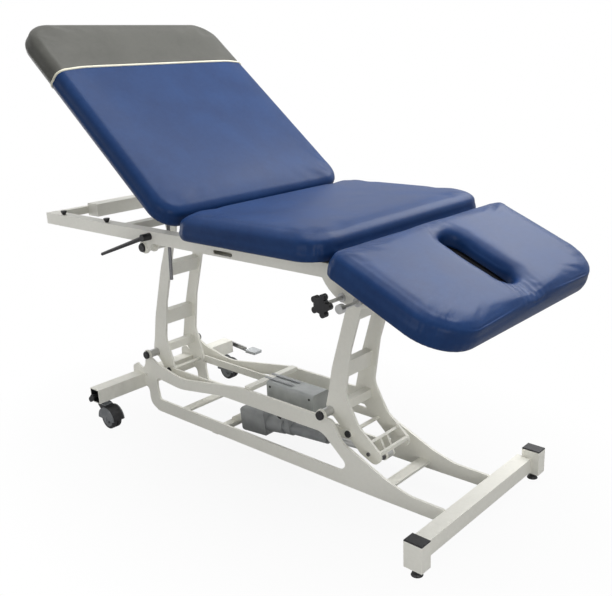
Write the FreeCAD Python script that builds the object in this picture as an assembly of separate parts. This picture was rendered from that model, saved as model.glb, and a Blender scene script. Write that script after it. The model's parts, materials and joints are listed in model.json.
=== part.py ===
"""Three-section treatment table with a motor-driven height lift.

Lengths are in millimetres and angles in degrees. Stations run along X from the rear leg hinge,
Y runs across the table and Z runs up from the floor. Pads are drawn flat and then tilted.
"""
import FreeCAD, Part
import math
import os

V = FreeCAD.Vector

# Overall sizes of the upholstered top
pad_width = 762.0
seat_top = 845.0
seat_thick = 66.0
seat_start = 554.0
back_length = 850.0
back_thick = 63.0
face_length = 347.3
face_thick = 63.0
back_raise = 39.6
face_drop = 24.3

# Lift geometry
leg_pitch = 845.8
hinge_height = 230.3
leg_rise = 440.0
leg_lean = 135.0
tie_offset_x = 70.7
tie_offset_z = 55.9

# Base
plate_thick = 8.0
base_half = 120.0
rear_tube = 50.8
tube_wall = 3.0
rear_tube_back = 54.0
rear_tube_z = 125.0
rear_tube_half = 322.0
front_tube_deep = 46.0
front_tube_tall = 45.5
front_tube_z = 27.5
front_reach = 431.0
front_tube_station = leg_pitch + front_reach
post_half_gap = 285.3
post_long = 55.0
post_wide = 39.0
post_tall = 74.0
post_reach = 472.8
post_station = leg_pitch + post_reach

# Legs
leg_half = 73.0
leg_boss = 18.0
top_boss = 20.0

# Top frame
rail_tube = 38.0
rail_wall = 2.5
rail_half = 310.0
rail_rear = -235.2
rail_overhang = 81.0
rail_front = leg_pitch + leg_lean + rail_overhang
seat_overhang = 57.0
seat_length = rail_front + seat_overhang - seat_start
rail_bottom = 730.0

# Pivots of the pads
back_hinge_station = 532.8
back_hinge_z = 803.0
back_end_gap = 9.8
face_hinge_ahead = 30.0
face_hinge_station = rail_front + face_hinge_ahead
face_hinge_z = 768.2
face_end_gap = 34.0

# Fits and gaps
shaft_gap = 0.05
side_gap = 0.5
face_gap = 0.3
open_gap = 0.4
overrun = 5.0

# Bolts and pins
pin_radius = 8.0
hinge_pin_radius = 5.0
bolt_radius = 4.0
bolt_head = 7.0
head_tall = 5.0
cap_radius = 14.0
cap_tall = 6.0

nodes = {}


def box(x0, x1, y0, y1, z0, z1):
    return Part.makeBox(x1 - x0, y1 - y0, z1 - z0, V(x0, y0, z0))


def rod_y(x, z, radius, y0, y1):
    return Part.makeCylinder(radius, y1 - y0, V(x, y0, z), V(0, 1, 0))


def rod_z(x, y, radius, z0, z1):
    return Part.makeCylinder(radius, z1 - z0, V(x, y, z0), V(0, 0, 1))


def both_sides(shape):
    """The shape and its mirror image across the table's middle plane."""
    return [shape, shape.mirror(V(0, 0, 0), V(0, 1, 0))]


def join(shapes):
    """Fuse shapes that touch or overlap into one clean solid."""
    first = shapes[0]
    if len(shapes) > 1:
        first = first.multiFuse(shapes[1:])
    return first.removeSplitter()


def group(shapes):
    return Part.makeCompound(shapes)


def corner_arc(before, corner, after, radius):
    """Start, middle and end of the arc that rounds one corner of an outline."""
    back = before - corner
    ahead = after - corner
    half = back.getAngle(ahead) / 2
    reach = radius / math.tan(half)
    limit = 0.49 * min(back.Length, ahead.Length)
    if reach > limit:
        reach = limit
        radius = reach * math.tan(half)
    back.normalize()
    ahead.normalize()
    start = corner + back * reach
    end = corner + ahead * reach
    toward = back + ahead
    toward.normalize()
    middle = corner + toward * (radius / math.sin(half) - radius)
    return start, middle, end


def rounded_wire(points):
    """Closed wire through corners (vector, radius); a radius of 0 keeps a corner sharp."""
    stations = []
    count = len(points)
    for index, (corner, radius) in enumerate(points):
        if radius > 0:
            before = points[index - 1][0]
            after = points[(index + 1) % count][0]
            stations.append(corner_arc(before, corner, after, radius))
        else:
            stations.append((corner, None, corner))
    edges = []
    for index, (start, middle, end) in enumerate(stations):
        if middle is not None:
            edges.append(Part.Arc(start, middle, end).toShape())
        ahead = stations[(index + 1) % count][0]
        if (ahead - end).Length > 0.001 * (1 + ahead.Length):
            edges.append(Part.LineSegment(end, ahead).toShape())
    return Part.Wire(edges)


def plate(points, y0, y1):
    """Flat plate in the XZ plane: corners (x, z, radius) extruded from y0 to y1."""
    wire = rounded_wire([(V(x, y0, z), radius) for x, z, radius in points])
    return Part.Face(wire).extrude(V(0, y1 - y0, 0))


def scaled(shares, station, height, size_x, size_z, size_r):
    """Corners from shares of the sizes that an outline follows."""
    return [(station + a * size_x, height + b * size_z, c * size_r) for a, b, c in shares]


def tube(x0, x1, y0, y1, z0, z1, wall, axis):
    """Square or rectangular tube, open along one axis."""
    outer = box(x0, x1, y0, y1, z0, z1)
    if axis == "x":
        inner = box(x0 - overrun, x1 + overrun, y0 + wall, y1 - wall, z0 + wall, z1 - wall)
    elif axis == "y":
        inner = box(x0 + wall, x1 - wall, y0 - overrun, y1 + overrun, z0 + wall, z1 - wall)
    else:
        inner = box(x0 + wall, x1 - wall, y0 + wall, y1 - wall, z0 - overrun, z1 + overrun)
    return outer.cut(inner)


def turned(shape, x, z, angle):
    """Turn about an axis along Y; a positive angle drops the +X end."""
    copy = shape.copy()
    copy.rotate(V(x, 0, z), V(0, 1, 0), angle)
    return copy


def pill(x0, z0, x1, z1, radius, y0, y1):
    """Flat bar with round ends, drawn between two points in the XZ plane."""
    direction = V(x1 - x0, 0, z1 - z0)
    length = direction.Length
    angle = math.degrees(math.atan2(-(z1 - z0), x1 - x0))
    bar = box(x0, x0 + length, y0, y1, z0 - radius, z0 + radius)
    bar = turned(bar, x0, z0, angle)
    return join([bar, rod_y(x0, z0, radius, y0, y1), rod_y(x1, z1, radius, y0, y1)])


# Side plates of the base: shares of leg_pitch along and of hinge_height up and for radii
side_outline_shares = [
    (-0.015, 0.964, 0.000),
    (0.017, 0.981, 0.000),
    (0.071, 0.894, 0.174),
    (0.225, 0.782, 1.086),
    (0.591, 0.994, 0.868),
    (0.981, 0.994, 0.000),
    (1.050, 0.981, 0.061),
    (1.095, 0.712, 0.174),
    (1.283, 0.421, 0.347),
    (1.377, 0.330, 0.651),
    (1.218, 0.126, 0.434),
    (0.047, 0.083, 0.130),
    (-0.007, 0.174, 0.174),
    (-0.009, 0.452, 0.096),
    (-0.080, 0.452, 0.078),
    (-0.090, 0.365, 0.017),
    (-0.114, 0.365, 0.061),
    (-0.114, 0.729, 0.069),
    (-0.083, 0.799, 0.035),
    (-0.043, 0.721, 0.087),
    (-0.021, 0.825, 0.130),
]
side_corners_before_nose = 10
nose_top_share = 0.330
nose_low_share = 0.1516
side_window_shares = [
    (0.052, 0.660, 0.069),
    (0.213, 0.608, 1.086),
    (0.473, 0.756, 0.868),
    (1.005, 0.769, 0.261),
    (1.116, 0.417, 0.087),
    (1.082, 0.313, 0.087),
    (0.061, 0.287, 0.061),
    (0.050, 0.499, 0.174),
]
base_boss = 18.0
nose_hole_back = 18.0
nose_hole_z = 148.0
nose_hole_radius = 5.0


def side_plate():
    y0 = base_half - plate_thick
    y1 = base_half
    outline = scaled(side_outline_shares, 0, 0, leg_pitch, hinge_height, hinge_height)
    outline[side_corners_before_nose:side_corners_before_nose] = [
        (front_tube_station, nose_top_share * hinge_height, 0),
        (front_tube_station, nose_low_share * hinge_height, 0),
    ]
    solid = join([
        plate(outline, y0, y1),
        rod_y(0, hinge_height, base_boss, y0, y1),
        rod_y(leg_pitch, hinge_height, base_boss, y0, y1),
    ])
    window = scaled(side_window_shares, 0, 0, leg_pitch, hinge_height, hinge_height)
    half = rear_tube / 2
    cuts = [
        plate(window, y0 - overrun, y1 + overrun),
        rod_y(0, hinge_height, pin_radius + shaft_gap, y0 - overrun, y1 + overrun),
        rod_y(leg_pitch, hinge_height, pin_radius + shaft_gap, y0 - overrun, y1 + overrun),
        rod_y(-nose_hole_back, nose_hole_z, nose_hole_radius, y0 - overrun, y1 + overrun),
        box(-rear_tube_back - half, half - rear_tube_back, y0 - overrun, y1 + overrun,
            rear_tube_z - half, rear_tube_z + half),
    ]
    return solid.cut(cuts)


# Casters and their stems
wheel_radius = 37.5
wheel_wide = 36.0
wheel_groove = 5.0
wheel_groove_deep = 4.0
tread_radius = 9.0
axle_radius = 4.0
caster_wide = 50.0
cheek_thick = 4.0
caster_trail = 35.0
caster_y = 287.0
stem_radius = 6.0
stem_into_tube = 9.0
neck_radius = 17.0
neck_tall = 9.0
hub_radius = 15.0
hub_proud = 1.5
hood_gap = 4.0
hood_thick = 3.0
shoulder_in = 2.0
shoulder_up = 26.0


def rear_cross_tube():
    half = rear_tube / 2
    shell = tube(-rear_tube_back - half, half - rear_tube_back, -rear_tube_half, rear_tube_half,
                 rear_tube_z - half, rear_tube_z + half, tube_wall, "y")
    holes = []
    for side in (-1, 1):
        holes.append(rod_z(-rear_tube_back, side * caster_y, stem_radius + shaft_gap,
                           rear_tube_z - half - overrun, rear_tube_z))
    return shell.cut(holes)


def caster_fork(side):
    """Grey hood with two cheeks, neck and stem, trailing toward +X."""
    x = -rear_tube_back
    y = side * caster_y
    axle_x = x + caster_trail
    top = rear_tube_z - rear_tube / 2 - face_gap
    half = caster_wide / 2
    bridge = top - neck_tall
    hood_radius = wheel_radius + hood_gap + hood_thick
    outer = rod_y(axle_x, wheel_radius, hood_radius, y - half, y + half)
    inner = rod_y(axle_x, wheel_radius, wheel_radius + hood_gap,
                  y - half + cheek_thick, y + half - cheek_thick)
    below = box(axle_x - 2 * hood_radius, axle_x + 2 * hood_radius, y - half - overrun,
                y + half + overrun, -hood_radius, wheel_radius)
    above = box(axle_x - 2 * hood_radius, axle_x + 2 * hood_radius, y - half - overrun,
                y + half + overrun, bridge, bridge + 2 * hood_radius)
    shell = outer.cut([inner, below, above])
    for cheek in (y - half, y + half - cheek_thick):
        shell = shell.fuse(rod_y(axle_x, wheel_radius, hub_radius, cheek, cheek + cheek_thick))
    shoulder = plate([(x - neck_radius, bridge, 0), (x + neck_radius, bridge, 0),
                      (axle_x, wheel_radius + hood_radius, 0), (axle_x, wheel_radius, 0),
                      (x + shoulder_in, wheel_radius + shoulder_up, 0),
                      (x - neck_radius, bridge - neck_tall, neck_tall)],
                     y - neck_radius, y + neck_radius)
    shoulder = shoulder.cut(rod_y(axle_x, wheel_radius, wheel_radius + hood_gap,
                                  y - half, y + half))
    neck = rod_z(x, y, neck_radius, bridge, top)
    stem = rod_z(x, y, stem_radius, top - overrun, top + face_gap + tube_wall + stem_into_tube)
    bore = rod_y(axle_x, wheel_radius, axle_radius + shaft_gap, y - caster_wide, y + caster_wide)
    return join([shell, shoulder, neck, stem]).cut(bore)


def caster_wheel(side):
    """Twin-tread wheel turned about its axle."""
    x = caster_trail - rear_tube_back
    y = side * caster_y
    half = wheel_wide / 2
    tread = rod_y(x, wheel_radius, wheel_radius, y - half, y + half)
    rims = []
    for edge in tread.Edges:
        if edge.BoundBox.YLength < shaft_gap:
            rims.append(edge)
    tread = tread.makeFillet(tread_radius / 2, rims)
    groove = rod_y(x, wheel_radius, wheel_radius + overrun, y - wheel_groove / 2, y + wheel_groove / 2)
    groove = groove.cut(rod_y(x, wheel_radius, wheel_radius - wheel_groove_deep,
                              y - half, y + half))
    hub = rod_y(x, wheel_radius, hub_radius, y - half - hub_proud, y + half + hub_proud)
    bore = rod_y(x, wheel_radius, axle_radius + shaft_gap, y - caster_wide, y + caster_wide)
    return join([tread, hub]).cut([groove, bore])


def caster_axle(side):
    x = caster_trail - rear_tube_back
    y = side * caster_y
    half = caster_wide / 2
    return join([
        rod_y(x, wheel_radius, axle_radius, y - half, y + half),
        rod_y(x, wheel_radius, bolt_head, y - half - head_tall / 2, y - half),
        rod_y(x, wheel_radius, bolt_head, y + half, y + half + head_tall / 2),
    ])


# Wheel lock: a hexagonal shaft inside the rear tube with a pedal at the far end
shaft_flats = 12.0
bush_long = 20.0
shaft_near = 334.0
shaft_far = 346.0
lever_thick = 6.0
lever_radius = 9.0
lever_reach = 60.0
lever_rise = 4.0
knob_reach = 30.0
pedal_start = 86.0
pedal_end = 151.0
pedal_z = 112.0
pedal_tall = 11.0
pedal_wide = 44.0
pedal_round = 5.0


def lock_shaft():
    circle_radius = shaft_flats / math.sqrt(3)
    corners = []
    for step in range(6):
        angle = math.radians(60 * step)
        corners.append((-rear_tube_back + circle_radius * math.cos(angle),
                        rear_tube_z + circle_radius * math.sin(angle), 0))
    return plate(corners, -shaft_near, shaft_far)


def lock_shaft_bushes():
    circle_radius = shaft_flats / math.sqrt(3)
    half = rear_tube / 2 - tube_wall
    bore = rod_y(-rear_tube_back, rear_tube_z, circle_radius + shaft_gap,
                 -2 * rear_tube_half, 2 * rear_tube_half)
    inner_face = caster_y - stem_radius - bush_long
    bushes = []
    for side in (-1, 1):
        y0 = side * inner_face
        y1 = side * (inner_face - bush_long)
        block = box(-rear_tube_back - half, half - rear_tube_back, min(y0, y1), max(y0, y1),
                    rear_tube_z - half, rear_tube_z + half)
        bushes.append(block.cut(bore))
    return group(bushes)


def pedal_lever():
    """Far-end crank from the lock shaft to the pedal."""
    x = -rear_tube_back
    y0 = shaft_far - lever_thick
    crank = pill(x, rear_tube_z, x + pedal_start, pedal_z + pedal_tall / 2, lever_radius,
                 y0, shaft_far)
    return crank.cut(lock_shaft())


def pedal_pad():
    x = -rear_tube_back
    y1 = shaft_far + pedal_wide / 2
    pad = box(x + pedal_start + lever_radius, x + pedal_end, y1 - pedal_wide, y1,
              pedal_z, pedal_z + pedal_tall)
    uprights = []
    for edge in pad.Edges:
        if edge.BoundBox.ZLength > pedal_tall / 2:
            uprights.append(edge)
    return pad.makeFillet(pedal_round, uprights)


def lock_shaft_lever():
    """Small lever on the near end of the lock shaft."""
    x = -rear_tube_back
    knob = pill(x, rear_tube_z, x - knob_reach / 2, rear_tube_z - knob_reach / 2, lever_radius,
                -shaft_near, lever_thick - shaft_near)
    return knob.cut(lock_shaft())


# Front cross tube, posts and levelling feet
foot_radius = 16.0
foot_tall = 22.0
foot_pad_tall = 7.0
foot_stem = 5.0
foot_into_post = 14.0
plug_deep = 12.0
lid_tall = 4.0
lid_round = 2.0


def front_cross_tube():
    return tube(front_tube_station, front_tube_station + front_tube_deep,
                -post_half_gap, post_half_gap,
                front_tube_z, front_tube_z + front_tube_tall, tube_wall, "y")


def front_post():
    return tube(post_station - post_long / 2, post_station + post_long / 2,
                post_half_gap, post_half_gap + post_wide,
                foot_tall, foot_tall + post_tall, tube_wall, "z")


def post_plug(z0, z1):
    return box(post_station - post_long / 2 + tube_wall, post_station + post_long / 2 - tube_wall,
               post_half_gap + tube_wall, post_half_gap + post_wide - tube_wall, z0, z1)


def post_cap():
    top = foot_tall + post_tall
    lid = box(post_station - post_long / 2, post_station + post_long / 2,
              post_half_gap, post_half_gap + post_wide, top, top + lid_tall)
    rim = []
    for edge in lid.Edges:
        if edge.BoundBox.ZMin > top + lid_tall / 2:
            rim.append(edge)
    lid = lid.makeFillet(lid_round, rim)
    return join([lid, post_plug(top - plug_deep, top)])


def foot_insert():
    hole = rod_z(post_station, post_half_gap + post_wide / 2, foot_stem + shaft_gap,
                 0, foot_tall + post_tall)
    return post_plug(foot_tall, foot_tall + plug_deep).cut(hole)


def levelling_foot(side):
    y = side * (post_half_gap + post_wide / 2)
    base = Part.makeCone(foot_radius, foot_radius - foot_pad_tall / 2, foot_pad_tall,
                         V(post_station, y, 0), V(0, 0, 1))
    nut = Part.makeCone(foot_radius / 2 + foot_stem / 2, foot_stem, foot_pad_tall,
                        V(post_station, y, foot_pad_tall), V(0, 0, 1))
    stem = rod_z(post_station, y, foot_stem, foot_pad_tall, foot_tall + foot_into_post)
    return join([base, nut, stem])


# Cross bars between the side plates
bar_wide = 37.0
bar_thick = 8.0
front_bar_reach = 194.2
front_bar_station = leg_pitch + front_bar_reach
front_bar_z = 49.0
rear_bar_station = 128.0
rear_bar_z = 33.0
drive_bar_back = 519.8
drive_bar_station = leg_pitch - drive_bar_back
drive_bar_wide = 30.0
drive_bar_z = 14.0
drive_bar_tall = 16.0
upper_bar_back = 334.3
upper_bar_station = leg_pitch - upper_bar_back
upper_bar_wide = 25.0
upper_bar_z = 222.0
upper_bar_tall = 14.0


def cross_bar(station, wide, z0, tall):
    half = base_half - plate_thick
    return box(station, station + wide, -half, half, z0, z0 + tall)


# Linear actuator with its brackets
drive_rear_back = 468.0
drive_rear_station = leg_pitch - drive_rear_back
drive_rear_z = 52.0
drive_front_x = 156.0
drive_front_z = 126.0
ear_inner = 13.0
ear_thick = 6.0
ear_radius = 13.0
drive_pin = 6.0
housing_long = 116.0
housing_start = 19.0
housing_tall = 92.0
housing_wide = 70.0
housing_drop = 42.0
housing_round = 14.0
collar_long = 68.0
collar_radius = 26.0
gear_radius = 30.0
outer_tube_radius = 20.0
outer_tube_end = 392.0
outer_tube_bore = 11.0
drive_rod_radius = 10.0
drive_rod_inside = 60.0
rod_eye_radius = 13.0
rod_eye_half = 12.0
lug_gap = 0.4
lug_thick = 8.0


def drive_angle():
    """Slope of the actuator at rest, in degrees above level."""
    rise = hinge_height - drive_front_z - drive_rear_z
    run = leg_pitch + drive_front_x - drive_rear_station
    return math.degrees(math.atan2(rise, run))


def drive_length():
    rise = hinge_height - drive_front_z - drive_rear_z
    run = leg_pitch + drive_front_x - drive_rear_station
    return math.hypot(rise, run)


def along_drive(shape):
    """Tilt a shape that was drawn level from the rear pin."""
    return turned(shape, drive_rear_station, drive_rear_z, -drive_angle())


def drive_clevis():
    bar = cross_bar(drive_bar_station, drive_bar_wide, drive_bar_z, drive_bar_tall)
    ear = pill(drive_bar_station + drive_bar_wide / 2, drive_bar_z + drive_bar_tall,
               drive_rear_station, drive_rear_z, ear_radius, ear_inner, ear_inner + ear_thick)
    hole = rod_y(drive_rear_station, drive_rear_z, drive_pin + shaft_gap, -base_half, base_half)
    return group(both_sides(ear.cut([bar, hole])))


def drive_rear_pin():
    reach = ear_inner + ear_thick
    x, z = drive_rear_station, drive_rear_z
    return join([
        rod_y(x, z, drive_pin, -reach - head_tall, reach + head_tall),
        rod_y(x, z, drive_pin + bolt_radius, -reach - head_tall, -reach),
        rod_y(x, z, drive_pin + bolt_radius, reach, reach + head_tall),
    ])


def drive_housing():
    """Motor and gearbox casing with its rear eye and front collar."""
    x, z = drive_rear_station, drive_rear_z
    start = x + housing_start
    half = housing_wide / 2
    shell = box(start, start + housing_long, -half, half,
                z - housing_drop, z - housing_drop + housing_tall)
    runs = []
    for edge in shell.Edges:
        if edge.BoundBox.YLength > half or edge.BoundBox.XLength > half:
            runs.append(edge)
    shell = shell.makeFillet(housing_round, runs)
    eye = pill(x, z, start + housing_start, z, ear_radius - side_gap,
               side_gap - ear_inner, ear_inner - side_gap)
    collar_start = start + housing_long
    collar = Part.makeCone(gear_radius, collar_radius, collar_long,
                           V(collar_start, 0, z), V(1, 0, 0))
    bore = rod_y(x, z, drive_pin + shaft_gap, -base_half, base_half)
    channel = Part.makeCylinder(outer_tube_radius, collar_long + overrun,
                                V(collar_start + head_tall, 0, z), V(1, 0, 0))
    return along_drive(join([shell, eye, collar]).cut([bore, channel]))


def drive_outer_tube():
    x, z = drive_rear_station, drive_rear_z
    start = x + housing_start + housing_long + head_tall
    long = x + outer_tube_end - start
    body = Part.makeCylinder(outer_tube_radius, long, V(start, 0, z), V(1, 0, 0))
    bore = Part.makeCylinder(outer_tube_bore, long, V(start + head_tall, 0, z), V(1, 0, 0))
    return along_drive(body.cut(bore))


def drive_rod():
    """Push rod with its eye and the part of the front pin that turns in it."""
    x, z = drive_rear_station, drive_rear_z
    length = drive_length()
    start = x + outer_tube_end - drive_rod_inside
    shaft = Part.makeCylinder(drive_rod_radius, length - outer_tube_end + drive_rod_inside,
                              V(start, 0, z), V(1, 0, 0))
    eye = rod_y(x + length, z, rod_eye_radius, -rod_eye_half, rod_eye_half)
    return along_drive(join([shaft, eye]))


# Control box and its lead
control_back = 309.3
control_start = leg_pitch - control_back
control_long = 205.0
control_wide = 76.0
control_z = 158.0
control_tall = 76.0
control_round = 10.0
control_lid = 5.0
screw_radius = 4.0
screw_tall = 2.0
screw_inset = 16.0


def control_box():
    half = control_wide / 2
    shell = box(control_start, control_start + control_long, -half, half,
                control_z, control_z + control_tall)
    runs = []
    for edge in shell.Edges:
        if edge.BoundBox.XLength > half:
            runs.append(edge)
    return shell.makeFillet(control_round, runs)


def control_hangers():
    """Two flat straps that carry the control box from the upper cross bar."""
    straps = []
    x0 = upper_bar_station
    x1 = control_start + control_long / 2
    z0 = upper_bar_z + upper_bar_tall
    for y in (-screw_inset - head_tall, screw_inset - head_tall):
        straps.append(box(x0, x1, y, y + 2 * head_tall, z0, z0 + screw_tall))
    return group(straps)


def control_screws():
    """Four cover screws on the near side."""
    y = -control_wide / 2
    screws = []
    for x in (control_start + screw_inset, control_start + control_long - screw_inset):
        for z in (control_z + screw_inset, control_z + control_tall - screw_inset):
            screws.append(rod_y(x, z, screw_radius, y - screw_tall, y))
    return group(screws)


lead_radius = 3.5
plug_radius = 7.0
plug_long = 16.0
lead_y = -14.0
lead_drop = 24.0
lead_run = 18.0
lead_gap = 0.8
saddle_start = 218.0
saddle_long = 22.0
saddle_wall = 4.0
socket_half = 9.0
socket_up = 32.0


def drive_saddle():
    """Connector block that the lead plugs into, clamped round the outer tube."""
    x = drive_rear_station + saddle_start
    z = drive_rear_z
    ring = Part.makeCylinder(outer_tube_radius + saddle_wall, saddle_long, V(x, 0, z), V(1, 0, 0))
    block = box(x, x + saddle_long, lead_y - socket_half, lead_y + socket_half,
                z, z + socket_up + socket_half)
    bore = Part.makeCylinder(outer_tube_radius, saddle_long + overrun, V(x - overrun / 2, 0, z),
                             V(1, 0, 0))
    return along_drive(join([ring, block]).cut(bore))


def lead_plug_drive():
    low = V(drive_rear_station + saddle_start, lead_y, drive_rear_z + socket_up)
    return along_drive(Part.makeCone(plug_radius, lead_radius + screw_tall, plug_long, low,
                                     V(-1, 0, 0)))


def lead_points():
    """Corners of the lead from the control box down to the plug on the actuator."""
    angle = math.radians(drive_angle())
    along = V(math.cos(angle), 0, math.sin(angle))
    up = V(-math.sin(angle), 0, math.cos(angle))
    end = V(drive_rear_station, lead_y, drive_rear_z)
    end = end + along * (saddle_start - plug_long - lead_gap) + up * socket_up
    x0 = control_start + control_round + plug_radius
    z0 = control_z - plug_long
    return [V(x0, lead_y, z0), V(x0, lead_y, z0 - lead_drop), end - along * lead_run, end]


def drive_lead():
    """Short lead between the two plugs, a run of straight lines and tangent arcs."""
    points = lead_points()
    edges = []
    last = points[0]
    for index in range(1, len(points) - 1):
        runs = min((points[index] - points[index - 1]).Length,
                   (points[index + 1] - points[index]).Length)
        back = points[index - 1] - points[index]
        ahead = points[index + 1] - points[index]
        radius = 0.45 * runs * math.tan(back.getAngle(ahead) / 2)
        start, middle, end = corner_arc(points[index - 1], points[index], points[index + 1], radius)
        edges.append(Part.LineSegment(last, start).toShape())
        edges.append(Part.Arc(start, middle, end).toShape())
        last = end
    edges.append(Part.LineSegment(last, points[-1]).toShape())
    path = Part.Wire(edges)
    ring = Part.Wire([Part.Circle(points[0], points[0] - points[1], lead_radius).toShape()])
    return path.makePipeShell([ring], True, False)


def lead_plug_box():
    return Part.makeCone(lead_radius + screw_tall, plug_radius, plug_long, lead_points()[0],
                         V(0, 0, 1))


# Lift legs: shares of leg_rise for places and radii, measured from the lower hinge
right_leg_shares = [
    (0.264, 1.000, 0.000),
    (0.155, 0.739, 0.273),
    (0.023, 0.318, 0.364),
    (-0.014, 0.136, 0.182),
    (-0.043, 0.018, 0.036),
    (0.255, -0.250, 0.055),
    (0.382, -0.305, 0.055),
    (0.441, -0.223, 0.050),
    (0.236, -0.055, 0.114),
    (0.132, 0.141, 0.114),
    (0.186, 0.466, 0.273),
    (0.273, 0.739, 0.273),
    (0.350, 1.000, 0.000),
]
left_leg_shares = right_leg_shares[:5] + [
    (0.132, -0.180, 0.064),
    (0.223, -0.150, 0.036),
    (0.191, -0.023, 0.091),
] + right_leg_shares[9:]
rung_deep = 25.0
rung_wall = 2.5
rung_lean = 17.0
rung_shares = [
    (0.218, 0.745, 0.114, 1.00),
    (0.091, 0.314, 0.118, 0.47),
    (0.082, 0.045, 0.064, 0.00),
]
foot_plate_long = 34.0
foot_plate_thick = 8.0
foot_plate_x = 132.0
foot_plate_z = 78.0
foot_plate_angle = 44.0
foot_bar = 10.0
foot_bar_x = 180.0
foot_bar_z = 92.0
leg_bolt_x = 142.0
leg_bolt_z = 102.0


def leg_plate(shares, station):
    """One side plate of a lift leg with bosses and holes for its three pins."""
    y0 = leg_half - plate_thick
    y1 = leg_half
    top_x = station + leg_lean
    top_z = hinge_height + leg_rise
    outline = scaled(shares, station, hinge_height, leg_rise, leg_rise, leg_rise)
    solid = join([
        plate(outline, y0, y1),
        rod_y(station, hinge_height, leg_boss, y0, y1),
        rod_y(top_x, top_z, top_boss, y0, y1),
    ])
    holes = [
        rod_y(station, hinge_height, pin_radius + shaft_gap, y0 - overrun, y1 + overrun),
        rod_y(top_x, top_z, pin_radius + shaft_gap, y0 - overrun, y1 + overrun),
    ]
    return solid, holes


def leg_plates(shares, station, tie_gap):
    solid, holes = leg_plate(shares, station)
    holes.append(rod_y(station + tie_offset_x, hinge_height - tie_offset_z, tie_pin + tie_gap,
                       0, base_half))
    return group(both_sides(solid.cut(holes)))


def leg_rungs(station):
    half = leg_half - plate_thick
    rungs = []
    for across, up, high, lean in rung_shares:
        cx = station + across * leg_rise
        cz = hinge_height + up * leg_rise
        tall = high * leg_rise
        rung = tube(cx - rung_deep / 2, cx + rung_deep / 2, -half, half,
                    cz - tall / 2, cz + tall / 2, rung_wall, "y")
        rungs.append(turned(rung, cx, cz, lean * rung_lean))
    return group(rungs)


def foot_plate():
    """Sloping cross plate at the bottom of the driven leg."""
    half = leg_half - plate_thick
    cx = leg_pitch + foot_plate_x
    cz = hinge_height - foot_plate_z
    bar = box(cx - foot_plate_long / 2, cx + foot_plate_long / 2, -half, half,
              cz - foot_plate_thick / 2, cz + foot_plate_thick / 2)
    return turned(bar, cx, cz, -foot_plate_angle)


def foot_tie():
    half = leg_half - plate_thick
    cx = leg_pitch + foot_bar_x
    cz = hinge_height - foot_bar_z
    return box(cx - foot_bar / 2, cx + foot_bar / 2, -half, half,
               cz - foot_bar / 2, cz + foot_bar / 2)


def drive_lugs():
    """Two lugs under the cross plate that take the actuator's front pin."""
    y0 = rod_eye_half + lug_gap
    y1 = y0 + lug_thick
    lug = pill(leg_pitch + foot_plate_x, hinge_height - foot_plate_z,
               leg_pitch + drive_front_x, hinge_height - drive_front_z,
               rod_eye_radius, y0, y1)
    below = box(-foot_plate_long, foot_plate_long, y0 - overrun, y1 + overrun,
                -foot_plate_thick / 2, foot_plate_long)
    below.translate(V(leg_pitch + foot_plate_x, 0, hinge_height - foot_plate_z))
    below = turned(below, leg_pitch + foot_plate_x, hinge_height - foot_plate_z,
                   -foot_plate_angle)
    return group(both_sides(lug.cut(below)))


def drive_bolt_heads():
    y0 = rod_eye_half + lug_gap + lug_thick
    head = rod_y(leg_pitch + drive_front_x, hinge_height - drive_front_z, drive_pin + bolt_radius,
                 y0, y0 + head_tall)
    return group(both_sides(head))


def leg_bolts():
    head = rod_y(leg_pitch + leg_bolt_x, hinge_height - leg_bolt_z, bolt_radius + screw_tall,
                 leg_half, leg_half + head_tall - screw_tall / 2)
    return group(both_sides(head))


# Hinge pins of the legs
collar_gap = 0.5
collar_thick = 5.0
spacer_radius = 14.0
pin_proud = 3.0
pin_collar = 12.0
top_pin_proud = 5.0


def base_pins():
    """Four pins through the base plates and leg plates, each with an inner collar."""
    pins = []
    inner = leg_half - plate_thick - collar_gap
    for x in (0, leg_pitch):
        pin = join([
            rod_y(x, hinge_height, pin_radius, inner - collar_thick, base_half + pin_proud),
            rod_y(x, hinge_height, pin_collar, inner - collar_thick, inner),
        ])
        pins += both_sides(pin)
    return group(pins)


def pin_spacers():
    spacers = []
    for x in (0, leg_pitch):
        ring = rod_y(x, hinge_height, spacer_radius, leg_half + collar_gap,
                     base_half - plate_thick)
        ring = ring.cut(rod_y(x, hinge_height, pin_radius + shaft_gap, 0, base_half))
        spacers += both_sides(ring)
    return group(spacers)


def domed_cap(x, z, radius, y0, tall, pin, pin_tall):
    """Round plastic cap with a softened rim and a pocket for the pin end."""
    cap = rod_y(x, z, radius, y0, y0 + tall)
    rim = []
    for edge in cap.Edges:
        if edge.BoundBox.YMin > y0 + tall / 2:
            rim.append(edge)
    cap = cap.makeFillet(tall / 3, rim)
    return cap.cut(rod_y(x, z, pin + shaft_gap, y0 - overrun, y0 + pin_tall))


def hinge_caps():
    caps = []
    for x in (0, leg_pitch):
        cap = domed_cap(x, hinge_height, cap_radius, base_half, cap_tall + pin_proud,
                        pin_radius, pin_proud)
        caps += both_sides(cap)
    return group(caps)


def top_pin(station):
    """Long pin through both leg plates at the top pivot."""
    x = station + leg_lean
    z = hinge_height + leg_rise
    reach = leg_half + top_pin_proud
    return join([
        rod_y(x, z, pin_radius, -reach, reach),
        rod_y(x, z, pin_collar, -reach, -leg_half),
        rod_y(x, z, pin_collar, leg_half, reach),
    ])


# Tie bars between the legs
tie_pin = 6.0
tie_half_tall = 13.0
tie_thick = 6.0
tie_side_gap = 0.4
tie_cap_tall = 5.0


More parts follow.
